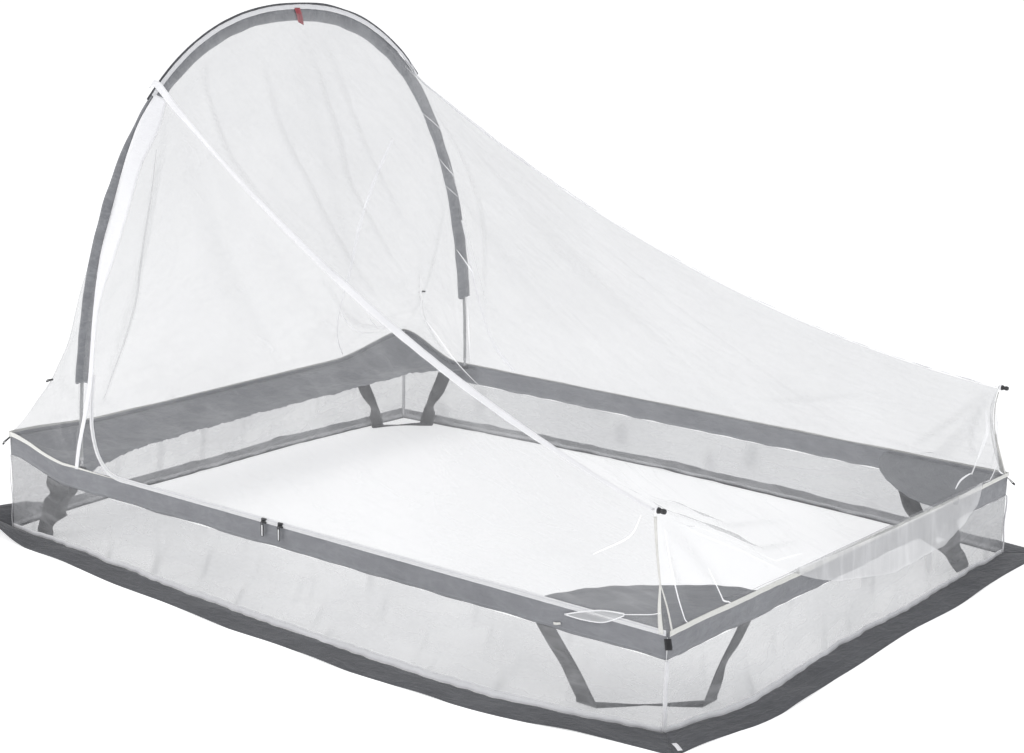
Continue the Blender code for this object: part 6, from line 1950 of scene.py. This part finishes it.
TAG_LENGTH = 0.030
TAG_WIDTH = 0.0078
TAG_THICKNESS = 0.0018
TAG_TOP = 0.0060


def pull_tag(x):
    """Flat tag with a light field on each face, inset in its black frame."""
    middle_z = RIM_HEIGHT - TAG_TOP - TAG_LENGTH / 2
    tag = start_shape("cube", size=1.0, location=(x, BAIL_Y, middle_z), scale=(TAG_WIDTH, TAG_THICKNESS, TAG_LENGTH))
    choose(tag, lambda p: abs(abs(p.x - x) - TAG_WIDTH / 2) < 1e-5 and abs(p.y - BAIL_Y) < 1e-5, "EDGE")
    upright = lambda p: abs(abs(p.z - middle_z) - TAG_LENGTH / 2) < 1e-5 and abs(abs(p.x - x) - TAG_WIDTH / 2) < 1e-5
    choose(tag, upright, "EDGE")
    bpy.ops.mesh.bevel(offset=0.0024, segments=5, affect="EDGES")
    choose(tag, lambda p: abs(abs(p.y - BAIL_Y) - TAG_THICKNESS / 2) < 1e-6)
    bpy.ops.mesh.inset(thickness=0.0015, depth=0.0, use_individual=True)
    bpy.ops.mesh.extrude_region_shrink_fatten(TRANSFORM_OT_shrink_fatten={"value": -0.0003})
    light_faces = [f.index for f in bmesh.from_edit_mesh(tag.data).faces if f.select]
    finish_shape(tag, "tag", BLACK_PLASTIC, PULL_RUBBER, angle=30.0)
    for index in light_faces:
        tag.data.polygons[index].material_index = 1
    return tag


def pull_loop(x):
    """Wire loop that goes through the bail and through the top of the tag."""
    loop = start_shape("torus", major_radius=0.0041, minor_radius=0.00075, major_segments=28, minor_segments=10, location=(x, BAIL_Y, RIM_HEIGHT - 0.0033), rotation=(0, math.pi / 2, 0))
    return finish_shape(loop, "loop", SLIDER_METAL)


for end, x in SLIDER_PLACES.items():
    slider = join_shapes(slider_body(x), slider_bail(x))
    slider.name = f"slider_{end}_body"
    mount(slider, (f"zip_slider_{end}",), f"slider_{end}")
    pull = join_shapes(pull_tag(x), pull_loop(x))
    pull.name = f"pull_{end}_tag"
    mount(pull, (f"zip_pull_{end}",), f"pull_{end}")
    print(end, "slider faces:", len(slider.data.polygons), "pull faces:", len(pull.data.polygons))

# %% [markdown]
# A black end piece closes each ridge tape at the foot, where a cord can be tied on. It is turned
# plastic, so it starts as a disc that is extruded and resized step by step. The tape's end wraps
# round it in a small white band.

# %% Ridge ends
RIDGE_END_LENGTH = 0.0250
RIDGE_END_RADIUS = 0.0060
RIDGE_END_STEPS = ((0.0, 0.72), (0.06, 0.95), (0.12, 1.0), (0.43, 1.0), (0.48, 0.92), (0.50, 0.72), (0.62, 0.70), (0.66, 0.88), (0.74, 0.92), (0.93, 0.84), (0.98, 0.70), (1.0, 0.50))


def ridge_end_piece(sign, side):
    tip = ridge_line(sign, 1.0) + np.array([GAP, 0.0, RIDGE_END_RADIUS / 2])
    start = (float(tip[0]), float(tip[1]), float(tip[2]))
    radius = RIDGE_END_RADIUS * RIDGE_END_STEPS[0][1]
    piece = start_shape("circle", vertices=28, radius=radius, fill_type="NGON", location=start, rotation=(0, math.pi / 2, 0))
    bpy.ops.mesh.select_all(action="SELECT")
    for (place, wide), (next_place, next_wide) in zip(RIDGE_END_STEPS, RIDGE_END_STEPS[1:]):
        step = (next_place - place) * RIDGE_END_LENGTH
        bpy.ops.mesh.extrude_region_move(TRANSFORM_OT_translate={"value": (step, 0, 0)})
        centre = (start[0] + next_place * RIDGE_END_LENGTH, start[1], start[2])
        grow = next_wide / wide
        bpy.ops.transform.resize(value=(1.0, grow, grow), center_override=centre)
    finish_shape(piece, f"ridge_end_cap_{side}", BLACK_PLASTIC)
    mount(piece, (f"ridge_end_{side}",))
    turn = np.linspace(0, 2 * math.pi, 40)
    ring = np.stack([points(start[0] + RIDGE_END_LENGTH * share, start[1] + radius_here * np.cos(turn), start[2] + radius_here * np.sin(turn)) for share, radius_here in ((0.10, 0.0069), (0.18, 0.0073), (0.30, 0.0071))])
    lay_cloth(f"ridge_end_wrap_{side}", [ring], WHITE_TAPE, thickness=0.0006)
    return piece


for sign, side in ((-1, "near"), (1, "far")):
    print("ridge end:", tuple(round(d, 4) for d in ridge_end_piece(sign, side).dimensions))

# %% [markdown]
# The black tabs are short pieces of webbing, folded in half and sewn into a seam. The fold
# leaves a small loop at the end, for a peg or a cord.

# %% Corner tabs and guy tabs
def folded_tab(name, root, along, face, length, width, replaced, droop=0.0):
    """Webbing that goes out, turns in a loop and comes back to the seam."""
    along = unit(np.asarray(along, float))
    face = unit(np.asarray(face, float) - along * float(np.dot(face, along)))
    half = 0.0009
    out = np.linspace(0, 1, 14)
    arc = np.linspace(math.pi / 2, -math.pi / 2, 12)
    reach = np.concatenate([out * (length - 0.004), length - 0.004 + 0.0034 * np.cos(arc)[1:-1], out[::-1] * (length - 0.004)])
    rise = np.concatenate([mix(half, 0.0020, out**3), 0.0020 * np.sin(arc)[1:-1], -mix(half, 0.0020, out[::-1] ** 3)])
    path = root + along * reach[:, None] + face * (rise - droop * (reach / length) ** 2)[:, None]
    across = np.cross(along, face)
    wide = np.linspace(-0.5, 0.5, 6)[:, None, None]
    grid = path[None] + across * wide * width
    return lay_cloth(name, [grid], BLACK_WEBBING, (replaced,), 0.0010)


CORNER_TAB_SIZE = (0.024, 0.014)
GUY_TAB_SIZE = (0.018, 0.010)
for corner, (x_sign, y_sign) in CORNERS.items():
    out = unit(np.array([x_sign, y_sign, 0.0]))
    root = np.array([x_sign * X_FOOT, y_sign * HALF_WIDTH, 0.0]) + out * 0.0016
    root[2] = float(rim_height(root[0], root[1])) - 0.0109
    folded_tab(f"corner_loop_{corner}", root, out - np.array([0.0, 0.0, 0.75]), (0.0, 0.0, 1.0), *CORNER_TAB_SIZE, f"corner_tab_{corner}", 0.003)
for side, u in (("near", LEG_SHARE), ("far", 1 - LEG_SHARE)):
    sign = -1 if side == "near" else 1
    root = head_net(u, 0.70) + unit(np.array([-1.0, sign, 0.0])) * 0.0018
    folded_tab(f"guy_loop_{side}", root, (-1.0, sign, -0.25), (0.0, 0.0, 1.0), *GUY_TAB_SIZE, f"guy_tab_{side}", 0.002)

# %% [markdown]
# A few small pieces of white tape finish the tent: the end of the strap's stitching by the near
# foot corner, a care tab on the skirt's corner, and a leaf-shaped loop of spare door tape that
# lies against the wall above the zip.

# %% Small tapes at the near foot corner
def leaf_loop_grids():
    """Two narrow tapes that part and meet again, with a thin tape that goes on to the corner."""
    lower = ((0.752, 0.190), (0.800, 0.190), (0.850, 0.197), (0.898, 0.222))
    upper = ((0.752, 0.190), (0.795, 0.206), (0.845, 0.220), (0.898, 0.226))
    tail = ((0.896, 0.224), (0.930, 0.232), (0.962, 0.240), (0.985, 0.249))
    grids = []
    for path, width in ((lower, 0.0024), (upper, 0.0028), (tail, 0.0018)):
        spots = smooth_path(path, 36)
        place = near_wall(spots[:, 0], spots[:, 1], 0.0046)
        grids.append(ribbon(place, np.array([0.0, -1.0, 0.0]), width, 0.0, 0.0, 3))
    return grids


def leaf_net_grid():
    """Spare net between the two tapes of the loop."""
    low = smooth_path(((0.752, 0.190), (0.800, 0.190), (0.850, 0.197), (0.898, 0.222)), 36)
    high = smooth_path(((0.752, 0.190), (0.795, 0.206), (0.845, 0.220), (0.898, 0.226)), 36)
    return np.stack([near_wall(*mix(low, high, share).T, 0.0038) for share in np.linspace(0, 1, 5)])


lay_cloth("door_leaf_loop", leaf_loop_grids(), WHITE_TAPE, thickness=0.0006)
lay_cloth("door_leaf_net", [leaf_net_grid()], LOWER_NET, creases=[0.5])
bar = smooth_path(((0.724, -0.7530, 0.1640), (0.733, -0.7542, 0.1655), (0.742, -0.7534, 0.1680)), 12)
lay_cloth("strap_end_tape", [ribbon(bar, np.array([0.0, -1.0, 0.0]), 0.0052, 0.0, 0.0, 4)], CREAM_TAPE, thickness=0.0010)
care = smooth_path(((1.046, -0.782, 0.0030), (1.060, -0.792, 0.0036), (1.074, -0.802, 0.0024)), 14)
lay_cloth("skirt_care_tab", [ribbon(care, np.array([0.0, 0.0, 1.0]), 0.0100, 0.0, 0.0, 4)], WHITE_TAPE, thickness=0.0006)

# %% [markdown]
# The frame's own hard pieces are already right in shape: the pole's five sections, the steel
# ferrules that join them, the tips, the elastic cord inside and the two seats. They keep their
# meshes and get the finishes made for them.

# %% Finishes for the frame's own pieces
CARRIED = (
    (FIBREGLASS, "fibreglass", [f"pole_section_{k}" for k in range(1, 6)]),
    (STEEL, "steel", [f"ferrule_{k}" for k in range(1, 5)]),
    (STEEL, "steel", ["pole_tip_near", "pole_tip_far"]),
    (ELASTIC, "elastic", ["shock_cord"]),
    (SEAT_PLASTIC, "moulding", ["pole_seat_near", "pole_seat_far"]),
)
for finish, slot, names in CARRIED:
    for name in names:
        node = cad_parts[name]
        for place in node.material_slots:
            place.material = finish
print("carried over:", sum(len(names) for _, _, names in CARRIED))

# %% [markdown]
# Flat sizes that some sheets would be cut to are listed here: width and length, and a flare for each side.

# %% Sheets and their flat sizes
LONG_SIDES = {
    "near": {"lower": (0.168, 2.02), "flare": 0.182},
    "far": {"lower": (0.164, 2.02), "flare": 0.182},
    "foot": {"lower": (0.156, 1.52), "flare": 0.138},
    "head": {"lower": (0.186, 1.52), "flare": 0.138},
}
for side, sizes in LONG_SIDES.items():
    length = sizes["lower"][1]
for corner in CORNERS:
    length = 0.485 if corner.startswith("foot") else 0.445
